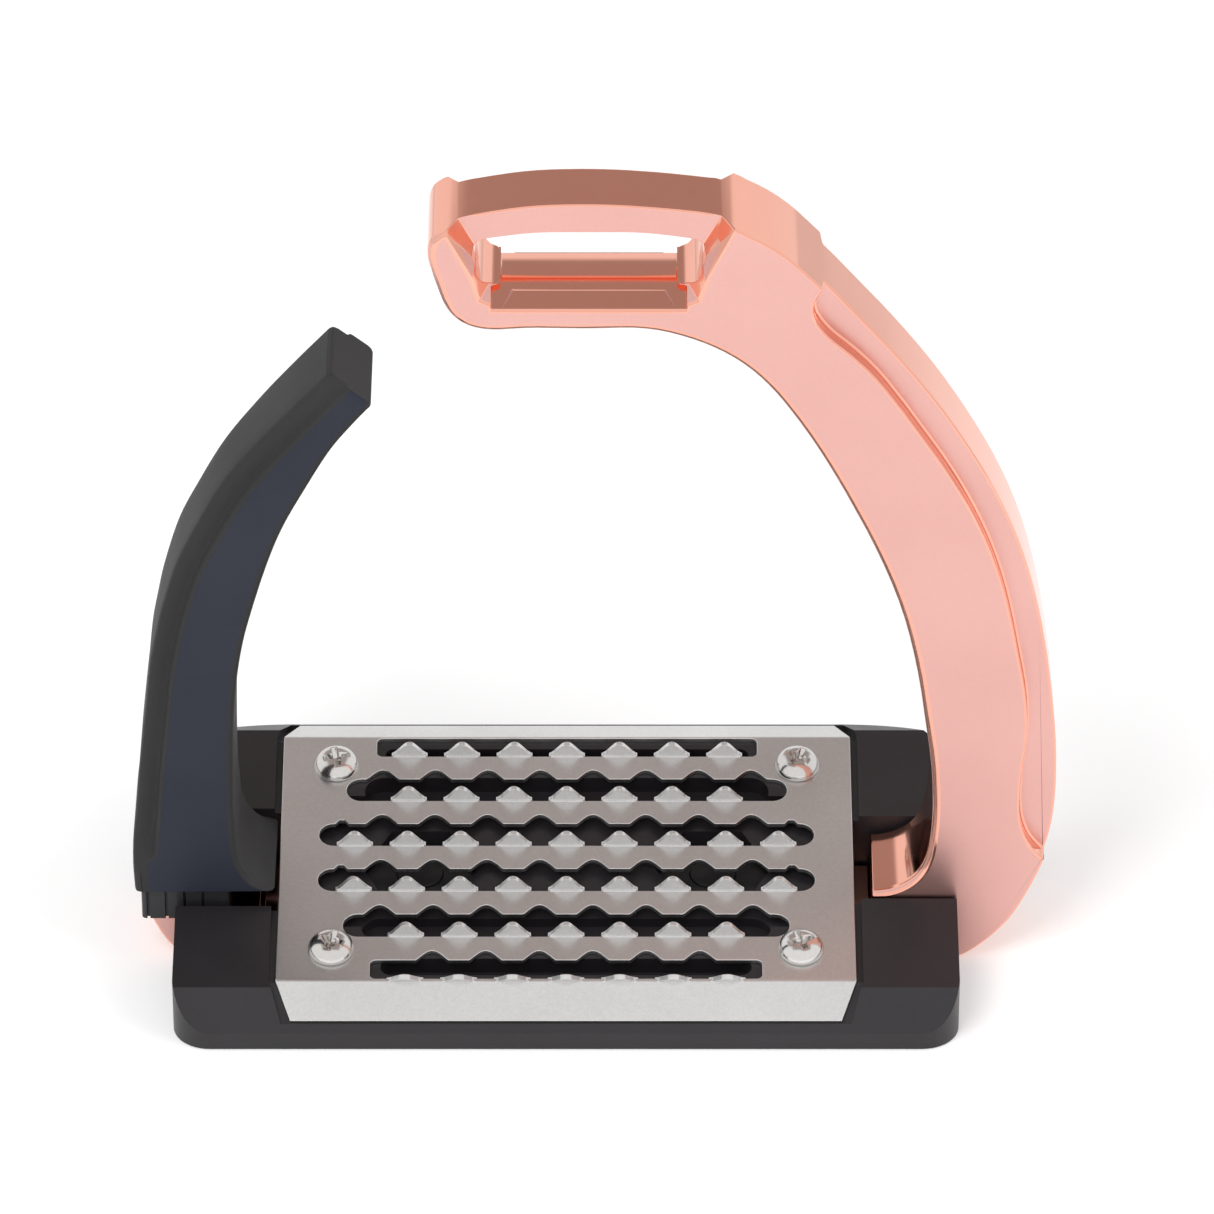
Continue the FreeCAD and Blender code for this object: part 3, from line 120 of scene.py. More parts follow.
def even_shading(piece):
    """Lets the large flat faces decide the shading, so that small roundings don't tint them."""
    weigh = piece.modifiers.new("even_shading", "WEIGHTED_NORMAL")
    weigh.keep_sharp = True
    weigh.weight = 100
    return applied(piece)


def count(piece):
    print(piece.name, "faces:", len(piece.data.polygons))


# %% [markdown]
# ## Finishes
# Several finishes share two effects. Grain is the very fine relief of a blasted, moulded or coated
# surface. Marks are the soft, cloudy differences that handling and polishing leave in the gloss.
# Each is a shader node group, built once, and every material sets its own values on it.


# %% Shared effects as node groups
def new_group(name, inputs, outputs):
    group = bpy.data.node_groups.new(name, "ShaderNodeTree")
    for label, value in inputs:
        socket = group.interface.new_socket(label, in_out="INPUT", socket_type="NodeSocketFloat")
        socket.default_value = value
    for label in outputs:
        group.interface.new_socket(label, in_out="OUTPUT", socket_type="NodeSocketFloat")
    return group, group.nodes.new("NodeGroupInput"), group.nodes.new("NodeGroupOutput")


def grain_group():
    """Fine relief from two sizes of noise on object coordinates."""
    group, inside, outside = new_group("fine_grain", [("Scale", 4000.0), ("Coarse Share", 0.35)],
                                       ["Height", "Fleck"])
    link = group.links.new
    coords = group.nodes.new("ShaderNodeTexCoord")
    fine = group.nodes.new("ShaderNodeTexNoise")
    coarse = group.nodes.new("ShaderNodeTexNoise")
    third = group.nodes.new("ShaderNodeMath")
    third.operation = "MULTIPLY"
    third.inputs[1].default_value = 0.31
    mix = group.nodes.new("ShaderNodeMix")
    fleck = group.nodes.new("ShaderNodeMapRange")
    for noise in (fine, coarse):
        noise.inputs["Detail"].default_value = 2.0
        link(coords.outputs["Object"], noise.inputs["Vector"])
    link(inside.outputs["Scale"], fine.inputs["Scale"])
    link(inside.outputs["Scale"], third.inputs[0])
    link(third.outputs[0], coarse.inputs["Scale"])
    link(inside.outputs["Coarse Share"], mix.inputs["Factor"])
    link(fine.outputs["Fac"], mix.inputs["A"])
    link(coarse.outputs["Fac"], mix.inputs["B"])
    fleck.inputs["From Min"].default_value = 0.35
    fleck.inputs["From Max"].default_value = 0.65
    link(mix.outputs["Result"], fleck.inputs["Value"])
    link(mix.outputs["Result"], outside.inputs["Height"])
    link(fleck.outputs["Result"], outside.inputs["Fleck"])
    return group


def marks_group():
    """A soft cloudy value between Low and High."""
    group, inside, outside = new_group("soft_marks", [("Scale", 60.0), ("Low", 0.3), ("High", 0.4)],
                                       ["Value"])
    link = group.links.new
    coords = group.nodes.new("ShaderNodeTexCoord")
    cloud = group.nodes.new("ShaderNodeTexNoise")
    cloud.inputs["Detail"].default_value = 4.0
    spread = group.nodes.new("ShaderNodeMapRange")
    spread.inputs["From Min"].default_value = 0.3
    spread.inputs["From Max"].default_value = 0.7
    link(coords.outputs["Object"], cloud.inputs["Vector"])
    link(inside.outputs["Scale"], cloud.inputs["Scale"])
    link(cloud.outputs["Fac"], spread.inputs["Value"])
    link(inside.outputs["Low"], spread.inputs["To Min"])
    link(inside.outputs["High"], spread.inputs["To Max"])
    link(spread.outputs["Result"], outside.inputs["Value"])
    return group


GRAIN = grain_group()
MARKS = marks_group()
print("effects:", GRAIN.name, MARKS.name)


# %% [markdown]
# One function makes every material from those effects. Its colour moves between two close tones,
# its gloss follows the marks, and the grain feeds a Bump node. Values that don't vary, such as how
# strongly rubber mirrors, are set on the shader itself.


# %% A material from colour, gloss and grain
def finish(name, dark, light, rough, metallic=0.0, grain=4000.0, relief=0.00001, bump=0.3,
           cloud=60.0, coarse=0.35, specular=0.5, fleck=0.35):
    material = bpy.data.materials.new(name)
    material.use_nodes = True
    tree = material.node_tree
    shader = tree.nodes["Principled BSDF"]
    shader.inputs["Metallic"].default_value = metallic
    shader.inputs["Specular IOR Level"].default_value = specular
    fine = tree.nodes.new("ShaderNodeGroup")
    fine.node_tree = GRAIN
    fine.inputs["Scale"].default_value = grain
    fine.inputs["Coarse Share"].default_value = coarse
    gloss = tree.nodes.new("ShaderNodeGroup")
    gloss.node_tree = MARKS
    gloss.inputs["Scale"].default_value = cloud
    gloss.inputs["Low"].default_value = rough[0]
    gloss.inputs["High"].default_value = rough[1]
    tone = tree.nodes.new("ShaderNodeGroup")
    tone.node_tree = MARKS
    tone.inputs["Scale"].default_value = cloud * 0.6
    tone.inputs["Low"].default_value = 0.0
    tone.inputs["High"].default_value = 1.0
    share = tree.nodes.new("ShaderNodeMix")
    share.inputs["Factor"].default_value = fleck
    colour = tree.nodes.new("ShaderNodeMix")
    colour.data_type = "RGBA"
    colour.inputs["A"].default_value = (*dark, 1.0)
    colour.inputs["B"].default_value = (*light, 1.0)
    relief_node = tree.nodes.new("ShaderNodeBump")
    relief_node.inputs["Strength"].default_value = bump
    relief_node.inputs["Distance"].default_value = relief
    link = tree.links.new
    link(tone.outputs["Value"], share.inputs["A"])
    link(fine.outputs["Fleck"], share.inputs["B"])
    link(share.outputs["Result"], colour.inputs["Factor"])
    link(colour.outputs["Result"], shader.inputs["Base Color"])
    link(gloss.outputs["Value"], shader.inputs["Roughness"])
    link(fine.outputs["Height"], relief_node.inputs["Height"])
    link(relief_node.outputs["Normal"], shader.inputs["Normal"])
    return material


ROSE_SATIN = finish("rose_satin", (0.74, 0.415, 0.372), (0.80, 0.46, 0.415), (0.34, 0.40), 1.0,
                    grain=5200, relief=0.000006, bump=0.18)
ROSE_POLISHED = finish("rose_polished", (0.89, 0.42, 0.315), (0.93, 0.455, 0.345), (0.07, 0.11), 1.0,
                       grain=2500, relief=0.000002, bump=0.04)
# a blue-grey copy of the black rubber for the raised panels: painted cool light
COOL_LIT_RUBBER = finish("rubber_painted_cool_light", (0.010, 0.014, 0.025), (0.015, 0.019, 0.032), (0.52, 0.62),
                      grain=2600, relief=0.00003, bump=0.25, specular=0.4)
BLACK_RUBBER = finish("black_rubber", (0.027, 0.026, 0.0275), (0.036, 0.035, 0.0365), (0.55, 0.65),
                      grain=2600, relief=0.00003, bump=0.25, specular=0.22)
NYLON = finish("footbed_nylon", (0.012, 0.010, 0.0115), (0.019, 0.017, 0.0195), (0.34, 0.44),
               grain=3000, relief=0.00002, bump=0.2)
NYLON_DARK = finish("socket_nylon", (0.012, 0.012, 0.014), (0.018, 0.018, 0.021), (0.38, 0.48),
                    grain=3000, relief=0.00002, bump=0.2)
BLASTED = finish("blasted_steel", (0.66, 0.655, 0.65), (0.79, 0.785, 0.78), (0.33, 0.41), 1.0,
                 grain=3800, relief=0.00004, bump=0.35, fleck=0.6)
# a lighter, glossier copy of the blasted steel: painted highlight
HIGHLIGHT_STEEL = finish("painted_highlight_steel", (0.80, 0.77, 0.75), (0.88, 0.85, 0.83), (0.14, 0.20), 1.0,
                     grain=3800, relief=0.00001, bump=0.1)
SCREW_STEEL = finish("polished_steel", (0.62, 0.60, 0.58), (0.72, 0.70, 0.68), (0.14, 0.20), 1.0,
                     grain=2500, relief=0.000004, bump=0.1)
# dark brown for the screw recesses: painted shade
RECESS_SHADE = finish("recess_painted_shade", (0.035, 0.026, 0.020), (0.09, 0.07, 0.055), (0.45, 0.55), 0.6)
BOLT_STEEL = finish("bolt_steel", (0.50, 0.50, 0.50), (0.62, 0.62, 0.61), (0.22, 0.32), 1.0)
BLACK_OXIDE = finish("black_oxide", (0.018, 0.018, 0.019), (0.03, 0.03, 0.031), (0.30, 0.40), 0.6)
SPRING_STEEL = finish("spring_steel", (0.30, 0.32, 0.36), (0.40, 0.42, 0.46), (0.25, 0.35), 1.0)
BRASS = finish("insert_brass", (0.70, 0.52, 0.22), (0.80, 0.62, 0.30), (0.25, 0.35), 1.0)
print("finishes:", len(bpy.data.materials))

# %% [markdown]
# ## The casting
# The branch, the eye and the bar under the footbed are one aluminium casting. Its broad faces are
# satin, and its edges, inner surfaces and dished eye are polished like a mirror.
# The solid has the right shape, so a merged copy keeps it. Each face gets its finish from the way
# it points, and the small roundings take the polished one. Points closer than 0.06 mm are merged
# first, because a Bevel modifier leaves whole edges sharp where it meets very short ones.

# %% Casting: satin broad faces, polished everywhere else
casting = merged_copy("frame", "casting", weld=0.06)
casting.data.materials.append(ROSE_SATIN)
casting.data.materials.append(ROSE_POLISHED)
for face in casting.data.polygons:
    face.material_index = 0 if abs(face.normal.y) > 0.62 else 1


EYE_CENTRE, EYE_REACH = 4.1 * MM, 26.5 * MM
EYE_LOW, EYE_HIGH = 134.5 * MM, 152.6 * MM
EYE_DEEP = 8.7 * MM


def casting_share(middle):
    """Full roundings on the outline; the eye's dish and slot have crisper edges."""
    in_eye = abs(middle.x - EYE_CENTRE) < EYE_REACH and EYE_LOW < middle.z < EYE_HIGH
    return 0.3 if in_eye and abs(middle.y) < EYE_DEEP else 1.0


weigh_edges(casting, 34, casting_share)
casting = rounded_edges(casting, 0.45 * MM, steps=3, finish=1, harden=False, clamp=False, weighed=True)
for point in casting.data.vertices:
    point.co.z = max(point.co.z, 0.0)  # a rounding's end would stand 0.15 mm below the ground
casting.data.set_sharp_from_angle(angle=math.radians(40))
casting = even_shading(casting)
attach(casting, "stirrup")
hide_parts("frame")
count(casting)

# %% [markdown]
# ## The flexing arm
# The arm is one soft moulding from the footbed's notch to its square tip. The solids split it where
# it bends, so here it is one skin again: a loft of cross-sections between its outer and inner
# outlines, with a shallow ledge along the outer edge of both broad faces. The rubber is black; the
# raised panels beside the ledges take a blue-grey copy of it, which is painted cool light.

# %% Outlines of the arm, in millimetres
ARM_OUTER = [(-75.2, 15.9), (-75.4, 20.98), (-75.29, 25.97), (-74.61, 32.0), (-73.82, 40.7),
             (-72.92, 48.9), (-72.2, 55.0), (-71.4, 62.0), (-70.29, 67.98), (-68.99, 74.0),
             (-66.29, 83.05), (-63.02, 90.16), (-58.01, 99.5), (-52.0, 107.67), (-45.99, 114.8),
             (-39.4, 122.2)]
ARM_INNER = [(-50.9, 16.1), (-53.2, 16.7), (-55.2, 18.4), (-56.93, 22.3), (-57.4, 27.1),
             (-57.6, 35.04), (-57.3, 48.5), (-56.61, 58.5), (-55.39, 66.8), (-53.79, 73.5),
             (-50.89, 83.4), (-48.0, 91.2), (-44.11, 98.9), (-39.59, 107.0), (-35.3, 112.7),
             (-32.2, 116.3)]
ARM_STATIONS = 84
FOOT_DEPTH, TIP_DEPTH = 21.5, 18.0
TAPER_START, TAPER_LENGTH = 30, 92.7
LEDGE_DEEP = 2.0
LEDGE_WIDE = 3.5
print("arm stations:", ARM_STATIONS)


def along(points, share):
    """A point at a share of the way along a run of points, on a smooth curve through them."""
    lengths = [0.0]
    for a, b in zip(points[:-1], points[1:]):
        lengths.append(lengths[-1] + math.dist(a, b))
    place = min(max(share, 0.0), 1.0) * lengths[-1]
    i = max(k for k in range(len(points) - 1) if lengths[k] <= place + 1e-9)
    last = len(points) - 1
    p0, p1, p2, p3 = points[max(i - 1, 0)], points[i], points[i + 1], points[min(i + 2, last)]
    t = (place - lengths[i]) / (lengths[i + 1] - lengths[i])
    out = []
    for a, b, c, d in zip(p0, p1, p2, p3):
        out.append(0.5 * (2 * b + (c - a) * t + (2 * a - 5 * b + 4 * c - d) * t * t
                          + (3 * b - a - 3 * c + d) * t ** 3))
    return out


def ease(value, low, high):
    """0 below low, 1 above high, and a smooth step between."""
    t = min(max((value - low) / (high - low), 0.0), 1.0)
    return t * t * (3 - 2 * t)


# %% [markdown]
# One ring of 28 points describes the arm at any height. It could be a rounded box that is bevelled
# afterwards, but the ledge is part of the moulding and fades out at both ends, so each ring draws
# it. A loft joins the rings, and the strips between the ledges are the raised panels.

# %% Cross-sections of the arm
def arm_section(outer, inner, depth, ledge, inset=0.0):
    """One ring of points round the arm, in millimetres; ledge runs from 0 (none) to 1."""
    width = math.dist(outer, inner)
    away = [(inner[k] - outer[k]) / width for k in (0, 1)]
    half = depth / 2 - inset
    low = half - LEDGE_DEEP * ledge
    band = max(LEDGE_WIDE * min(ledge * 2, 1), 1.5)
    r = 1.1
    side = [(inset, 0.45 * low), (inset, low - r), (inset + 0.3 * r, low - 0.3 * r), (inset + r, low),
            (0.55 * band + 0.5, low), (band - 0.25, low), (band + 0.05, low + 0.12 * (half - low)),
            (band + 0.45, half - 0.25 * (half - low)), (band + 0.95, half),
            ((width + band) / 2, half), (width - inset - r, half),
            (width - inset - 0.3 * r, half - 0.3 * r), (width - inset, half - r),
            (width - inset, 0.45 * half)]
    ring = [(u, -y) for u, y in side] + [(u, y) for u, y in reversed(side)]
    return [Vector((outer[0] + away[0] * u, y, outer[1] + away[1] * u)) * MM for u, y in ring]


def arm_rings():
    rings = []
    end_outer, end_inner = along(ARM_OUTER, 1.0), along(ARM_INNER, 1.0)
    wide = math.dist(end_outer, end_inner)
    ahead = Vector(((end_outer[1] - end_inner[1]) / wide, 0, (end_inner[0] - end_outer[0]) / wide)) * MM
    for k in range(ARM_STATIONS + 1):
        share = k / ARM_STATIONS
        outer = along(ARM_OUTER, share)
        inner = along(ARM_INNER, share)
        taper = min(max((outer[1] - TAPER_START) / TAPER_LENGTH, 0), 1)
        depth = FOOT_DEPTH - (FOOT_DEPTH - TIP_DEPTH) * taper
        ledge = ease(outer[1], 20.5, 27.5) * (1 - 0.5 * ease(outer[1], 96, 122))
        rings.append(arm_section(outer, inner, depth, ledge))
    last = rings.pop()
    rings.append([p - ahead * 0.9 for p in last])
    for inset, step in ((0.10, 0.45), (0.35, 0.12), (0.8, 0.0)):
        rings.append([p - ahead * step for p in arm_section(end_outer, end_inner, TIP_DEPTH, 0.5,
                                                                inset)])
    return rings


def loft(name, rings, second=()):
    """A skin over rings of points; the strips named in second take the second material."""
    bm = bmesh.new()
    rows = [[bm.verts.new(p) for p in ring] for ring in rings]
    size = len(rings[0])
    for low, high in zip(rows[:-1], rows[1:]):
        for k in range(size):
            strip = bm.faces.new((low[k], low[(k + 1) % size], high[(k + 1) % size], high[k]))
            strip.material_index = 1 if k in second else 0
    bm.faces.new(list(reversed(rows[0])))
    bm.faces.new(rows[-1])
    bmesh.ops.recalc_face_normals(bm, faces=bm.faces)
    mesh = bpy.data.meshes.new(name)
    bm.to_mesh(mesh)
    bm.free()
    mesh.shade_smooth()
    piece = bpy.data.objects.new(name, mesh)
    scene.collection.objects.link(piece)
    return piece


# strips 8, 9, 17 and 18 are the raised panels; their blue-grey rubber is painted cool light
arm_skin = loft("arm_skin", arm_rings(), second=(8, 9, 17, 18))
arm_skin.data.set_sharp_from_angle(angle=math.radians(50))
arm_skin.data.materials.append(BLACK_RUBBER)
arm_skin.data.materials.append(COOL_LIT_RUBBER)
arm_skin = even_shading(arm_skin)
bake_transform(arm_skin)
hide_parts("arm_boot", "arm_upper")
count(arm_skin)

# %% [markdown]
# Inside the arm runs one strip of spring steel, which brings it back after it has bent. It is hidden,
# and here it is one strip, lofted along the arm's curve.

# %% The spring leaf
leaf_rings = []
for k in range(41):
    share = k / 40
    x, z = along([(-65.4, 41.7), (-65.4, 52.0), (-64.2, 64.0), (-60.9, 79.0), (-54.6, 94.0),
                  (-46.5, 106.0)], share)
    leaf_rings.append([Vector((x + dx, y, z)) * MM
                       for dx, y in ((-0.55, -4.9), (0.55, -4.9), (0.55, 4.9), (-0.55, 4.9))])
spring_leaf = loft("spring_leaf", leaf_rings)
spring_leaf.data.set_sharp_from_angle(angle=math.radians(30))
spring_leaf.data.materials.append(SPRING_STEEL)
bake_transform(spring_leaf)
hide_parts("leaf_root", "leaf_upper")
count(spring_leaf)

# %% [markdown]
# ## The footbed
# The base is moulded nylon. Its edges are rounded by the mould, which shows as soft light lines.

# %% Footbed base and the arm's socket
footbed = merged_copy("footbed_base", "footbed")
footbed.data.materials.append(NYLON)
footbed = rounded_edges(footbed, 0.9 * MM, steps=3, angle=24)
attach(footbed, "stirrup")
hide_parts("footbed_base")
count(footbed)

socket = merged_copy("arm_socket", "socket_sleeve")
socket.data.materials.append(NYLON_DARK)
socket = rounded_edges(socket, 0.15 * MM, steps=2)
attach(socket, "stirrup")
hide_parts("arm_socket")
count(socket)

# %% [markdown]
# ## The tread plate
# The plate is stainless sheet: six wavy slots are punched out, and a row of teeth along each slot is
# bent up square to the sheet for grip. A flat, filled curve with a small bevel gives the sheet its
# rounded edges. The outline is cut along the two bends and turned down there.

# %% Sizes of the plate, in millimetres
PLATE_X = 50.3
PLATE_V = 28.8
FLANGE = 7.2
FLANGE_CUT = 2.6
FLANGE_ANGLE = math.radians(30)
SHEET = 1.0
TILT = math.radians(11)
TREAD_Z = 15.5
PITCH = 9.3
REACH = 5.2
HUMP = 2.2
ROW_PITCH = 10.7
TOOTH_WIDE, TOOTH_HIGH, TOOTH_THICK = 6.4, 2.9, 0.9
ROWS = [(33.7, 7, 0), (38.9, 7, 8), (43.5, 9, 8), (43.5, 9, 8), (38.9, 7, 8), (34.0, 7, 6)]
SCREW_X, SCREW_Y = 40.8, 21.75
TO_TREAD = Matrix.Translation((0, 0, TREAD_Z * MM)) @ Matrix.Rotation(TILT, 4, "X")


def row_edges(row):
    """The near and far edge of a row's slot, up the plate's slope."""
    near = max(2.5 * ROW_PITCH - REACH / 2 - row * ROW_PITCH, -PLATE_V + 0.4)
    far = min(2.5 * ROW_PITCH + REACH / 2 - row * ROW_PITCH, PLATE_V - 0.35)
    return near, far


def arc(cx, cy, r, start, stop, steps=6):
    return [(cx + r * math.cos(math.radians(start + (stop - start) * k / steps)),
             cy + r * math.sin(math.radians(start + (stop - start) * k / steps)))
            for k in range(steps + 1)]


def slot_outline(row):
    """A slot with a straight near edge and a wavy far edge."""
    half, teeth, humps = ROWS[row]
    near, far = row_edges(row)
    r = 1.0 if row in (0, 5) else (far - near) / 2
    out = arc(-half + r, near + r, r, 180, 270) + arc(half - r, near + r, r, 270, 360)
    out += arc(half - r, far - r, r, 0, 90)
    wave = []
    arch = 0.31 * PITCH
    for k in range(humps):
        x = (k - (humps - 1) / 2) * PITCH
        for step in range(-7, 8):
            rise = math.cos(math.pi / 2 * step / 7) ** 1.2
            wave.append((x + arch * step / 7, far + rise * HUMP))
    if row in (2, 3):
        small = ((-1.2, 0), (-0.5, 0.9), (0.5, 0.9), (1.2, 0))
        bump = [(4.25 * PITCH + u, far + v) for u, v in small]
        wave = [(-x, y) for x, y in reversed(bump)] + wave + bump
    out += list(reversed(wave))
    out += arc(-half + r, far - r, r, 90, 180)
    return out


# %% [markdown]
# The sheet is drawn flat, as it is before it is folded. The bends could be modelled as they end up,
# but folding a flat sheet keeps its thickness right, and its cut corners come out as on the real
# plate. The two bends are cut across first, so that there are points to turn.

# %% The flat sheet with its slots
def sheet_outline():
    cut = PLATE_X - FLANGE_CUT
    end = PLATE_V + FLANGE
    return [(-PLATE_X, -PLATE_V - 0.3), (-cut, -end), (cut, -end), (PLATE_X, -PLATE_V - 0.3),
            (PLATE_X, PLATE_V + 0.3), (cut, end), (-cut, end), (-PLATE_X, PLATE_V + 0.3)]


def flat_sheet(name, outlines, thick, edge):
    """Outlines filled as one sheet, top at Z 0; later outlines are holes in the first."""
    curve = bpy.data.curves.new(name, "CURVE")
    curve.dimensions = "2D"
    curve.fill_mode = "BOTH"
    curve.extrude = (thick / 2 - edge) * MM
    curve.bevel_depth = edge * MM
    curve.bevel_resolution = 1
    curve.offset = -edge * MM
    for points in outlines:
        spline = curve.splines.new("POLY")
        spline.points.add(len(points) - 1)
        for p, (x, y) in zip(spline.points, points):
            p.co = (x * MM, y * MM, 0, 1)
        spline.use_cyclic_u = True
    made = bpy.data.objects.new(name, curve)
    scene.collection.objects.link(made)
    bpy.context.view_layer.update()
    mesh = bpy.data.meshes.new_from_object(made.evaluated_get(bpy.context.evaluated_depsgraph_get()))
    bpy.data.objects.remove(made)
    mesh.transform(Matrix.Translation((0, 0, -thick / 2 * MM)))
    return mesh


def screw_holes():
    return [arc(sx * SCREW_X, sy * SCREW_Y, 2.25, 0, -345, 23) for sx in (1, -1) for sy in (1, -1)]


def bend_flanges(mesh, radius=1.4):
    """Cuts the sheet across at the two bends and turns what lies beyond them downwards."""
    start = PLATE_V - radius * math.tan(FLANGE_ANGLE / 2)
    arc_length = radius * FLANGE_ANGLE
    bm = bmesh.new()
    bm.from_mesh(mesh)
    bmesh.ops.remove_doubles(bm, verts=bm.verts, dist=1e-6)
    for sign in (1, -1):
        for k in range(5):
            at = sign * (start + arc_length * k / 4) * MM
            bmesh.ops.bisect_plane(bm, geom=bm.verts[:] + bm.edges[:] + bm.faces[:],
                                   plane_co=(0, at, 0), plane_no=(0, 1, 0), dist=1e-7)
    for v in bm.verts:
        sign = math.copysign(1, v.co.y)
        beyond = abs(v.co.y) / MM - start
        if beyond > 0:
            turn = min(beyond / radius, FLANGE_ANGLE)
            rest = max(beyond - arc_length, 0)
            reach = start + radius * math.sin(turn) + rest * math.cos(FLANGE_ANGLE)
            drop = radius * (1 - math.cos(turn)) + rest * math.sin(FLANGE_ANGLE)
            level = v.co.z / MM
            v.co.y = sign * (reach + level * math.sin(turn)) * MM
            v.co.z = (-drop + level * math.cos(turn)) * MM
    bm.to_mesh(mesh)
    bm.free()


plate_mesh = flat_sheet("tread_sheet", [sheet_outline()] + [slot_outline(r) for r in range(6)]
                        + screw_holes(), SHEET, 0.16)
bend_flanges(plate_mesh)
plate_mesh.transform(TO_TREAD)
plate_mesh.shade_smooth()
plate_mesh.set_sharp_from_angle(angle=math.radians(50))
tread_sheet = bpy.data.objects.new("tread_sheet", plate_mesh)
scene.collection.objects.link(tread_sheet)
tread_sheet.data.materials.append(BLASTED)
tread_sheet = even_shading(tread_sheet)
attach(tread_sheet, "stirrup")
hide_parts("tread_plate")
count(tread_sheet)

# %% [markdown]
# ### Teeth
# Every tooth is the same round-topped triangle, bent up out of the sheet, so it is drawn once, with
# a little hollow fold along its foot. Geometry Nodes set it down at each point of the rows. The tree
# ends in Realize Instances and Set Material, because an export keeps only real meshes.


# %% A node tree that sets copies of a form on points
def node_tree(name, floats):
    tree = bpy.data.node_groups.new(name, "GeometryNodeTree")
    tree.interface.new_socket("Geometry", in_out="INPUT", socket_type="NodeSocketGeometry")
    ids = {}
    for label, value in floats:
        socket = tree.interface.new_socket(label, in_out="INPUT", socket_type="NodeSocketFloat")
        socket.default_value = value
        ids[label] = socket.identifier
    tree.interface.new_socket("Geometry", in_out="OUTPUT", socket_type="NodeSocketGeometry")
    return tree, tree.nodes.new("NodeGroupInput"), tree.nodes.new("NodeGroupOutput"), ids


def copies_tree(name, source, material):
    """A tree that sets a source object down on every point, turned as its 'turn' says."""
    tree, inside, outside, ids = node_tree(name, [("Size", 1.0)])
    new, link = tree.nodes.new, tree.links.new
    form = new("GeometryNodeObjectInfo")
    form.inputs["Object"].default_value = source
    turn = new("GeometryNodeInputNamedAttribute")
    turn.data_type = "FLOAT_VECTOR"
    turn.inputs["Name"].default_value = "turn"
    place = new("GeometryNodeInstanceOnPoints")
    real = new("GeometryNodeRealizeInstances")
    paint = new("GeometryNodeSetMaterial")
    paint.inputs["Material"].default_value = material
    link(form.outputs["Geometry"], place.inputs["Instance"])
    link(inside.outputs["Geometry"], place.inputs["Points"])
    link(turn.outputs["Attribute"], place.inputs["Rotation"])
    link(inside.outputs["Size"], place.inputs["Scale"])
    link(place.outputs["Instances"], real.inputs["Geometry"])
    link(real.outputs["Geometry"], paint.inputs["Geometry"])
    link(paint.outputs["Geometry"], outside.inputs["Geometry"])
    return tree, ids


# %% [markdown]
# The points of the rows carry how each tooth is turned. The front row stands on the fold, so it
# leans with the flange. Faces of each tooth's fold that face front and up, and the teeth's small
# roundings, take a lighter, glossier steel: a painted highlight.

# %% Points for the teeth, and the teeth themselves
def grown_on_points(name, places, tree, values):
    """Runs a tree on points that carry a 'turn' attribute and keeps the plain mesh it gives."""
    mesh = bpy.data.meshes.new(name)
    mesh.from_pydata([p for p, turn in places], [], [])
    turns = mesh.attributes.new("turn", "FLOAT_VECTOR", "POINT")
    for k, (p, turn) in enumerate(places):
        turns.data[k].vector = turn
    piece = bpy.data.objects.new(name, mesh)
    scene.collection.objects.link(piece)
    grow = piece.modifiers.new("grow", "NODES")
    grow.node_group = tree
    for identifier, value in values.items():
        grow[identifier] = value
    return applied(piece)


def prism(outline, near, far):
    """An XZ outline in millimetres made solid from Y near to Y far."""
    bm = bmesh.new()
    front = [bm.verts.new((x * MM, near * MM, z * MM)) for x, z in outline]
    back = [bm.verts.new((x * MM, far * MM, z * MM)) for x, z in outline]
    bm.faces.new(front)
    bm.faces.new(list(reversed(back)))
    for k in range(len(outline)):
        j = (k + 1) % len(outline)
        bm.faces.new((front[j], front[k], back[k], back[j]))
    bmesh.ops.recalc_face_normals(bm, faces=bm.faces)
    return bm


def tooth_form():
    """One tooth at the origin, its front face towards -Y, with the hollow fold along its foot."""
    flank = [(0.50, 0.0), (0.45, 0.05), (0.37, 0.22), (0.23, 0.60), (0.15, 0.82), (0.08, 0.95)]
    rise = [(x * TOOTH_WIDE, z * TOOTH_HIGH) for x, z in flank]
    outline = [(-0.5 * TOOTH_WIDE, -0.5), (0.5 * TOOTH_WIDE, -0.5)] + rise + [(0.0, TOOTH_HIGH)]
    bm = prism(outline + [(-x, z) for x, z in reversed(rise)], 0.0, TOOTH_THICK)
    reach = 0.46 * TOOTH_WIDE
    fold = [(-0.02, 0.42), (-0.12, 0.17), (-0.40, 0.01), (-0.40, -0.2), (0.3, -0.2), (0.3, 0.42)]
    left = [bm.verts.new((-reach * MM, y * MM, z * MM)) for y, z in fold]
    right = [bm.verts.new((reach * MM, y * MM, z * MM)) for y, z in fold]
    made = [bm.faces.new(left), bm.faces.new(list(reversed(right)))]
    for k in range(len(fold)):
        j = (k + 1) % len(fold)
        made.append(bm.faces.new((left[j], left[k], right[k], right[j])))
    bmesh.ops.recalc_face_normals(bm, faces=made)
    mesh = bpy.data.meshes.new("tooth_form")
    bm.to_mesh(mesh)
    bm.free()
    piece = bpy.data.objects.new("tooth_form", mesh)
    scene.collection.objects.link(piece)
    return piece


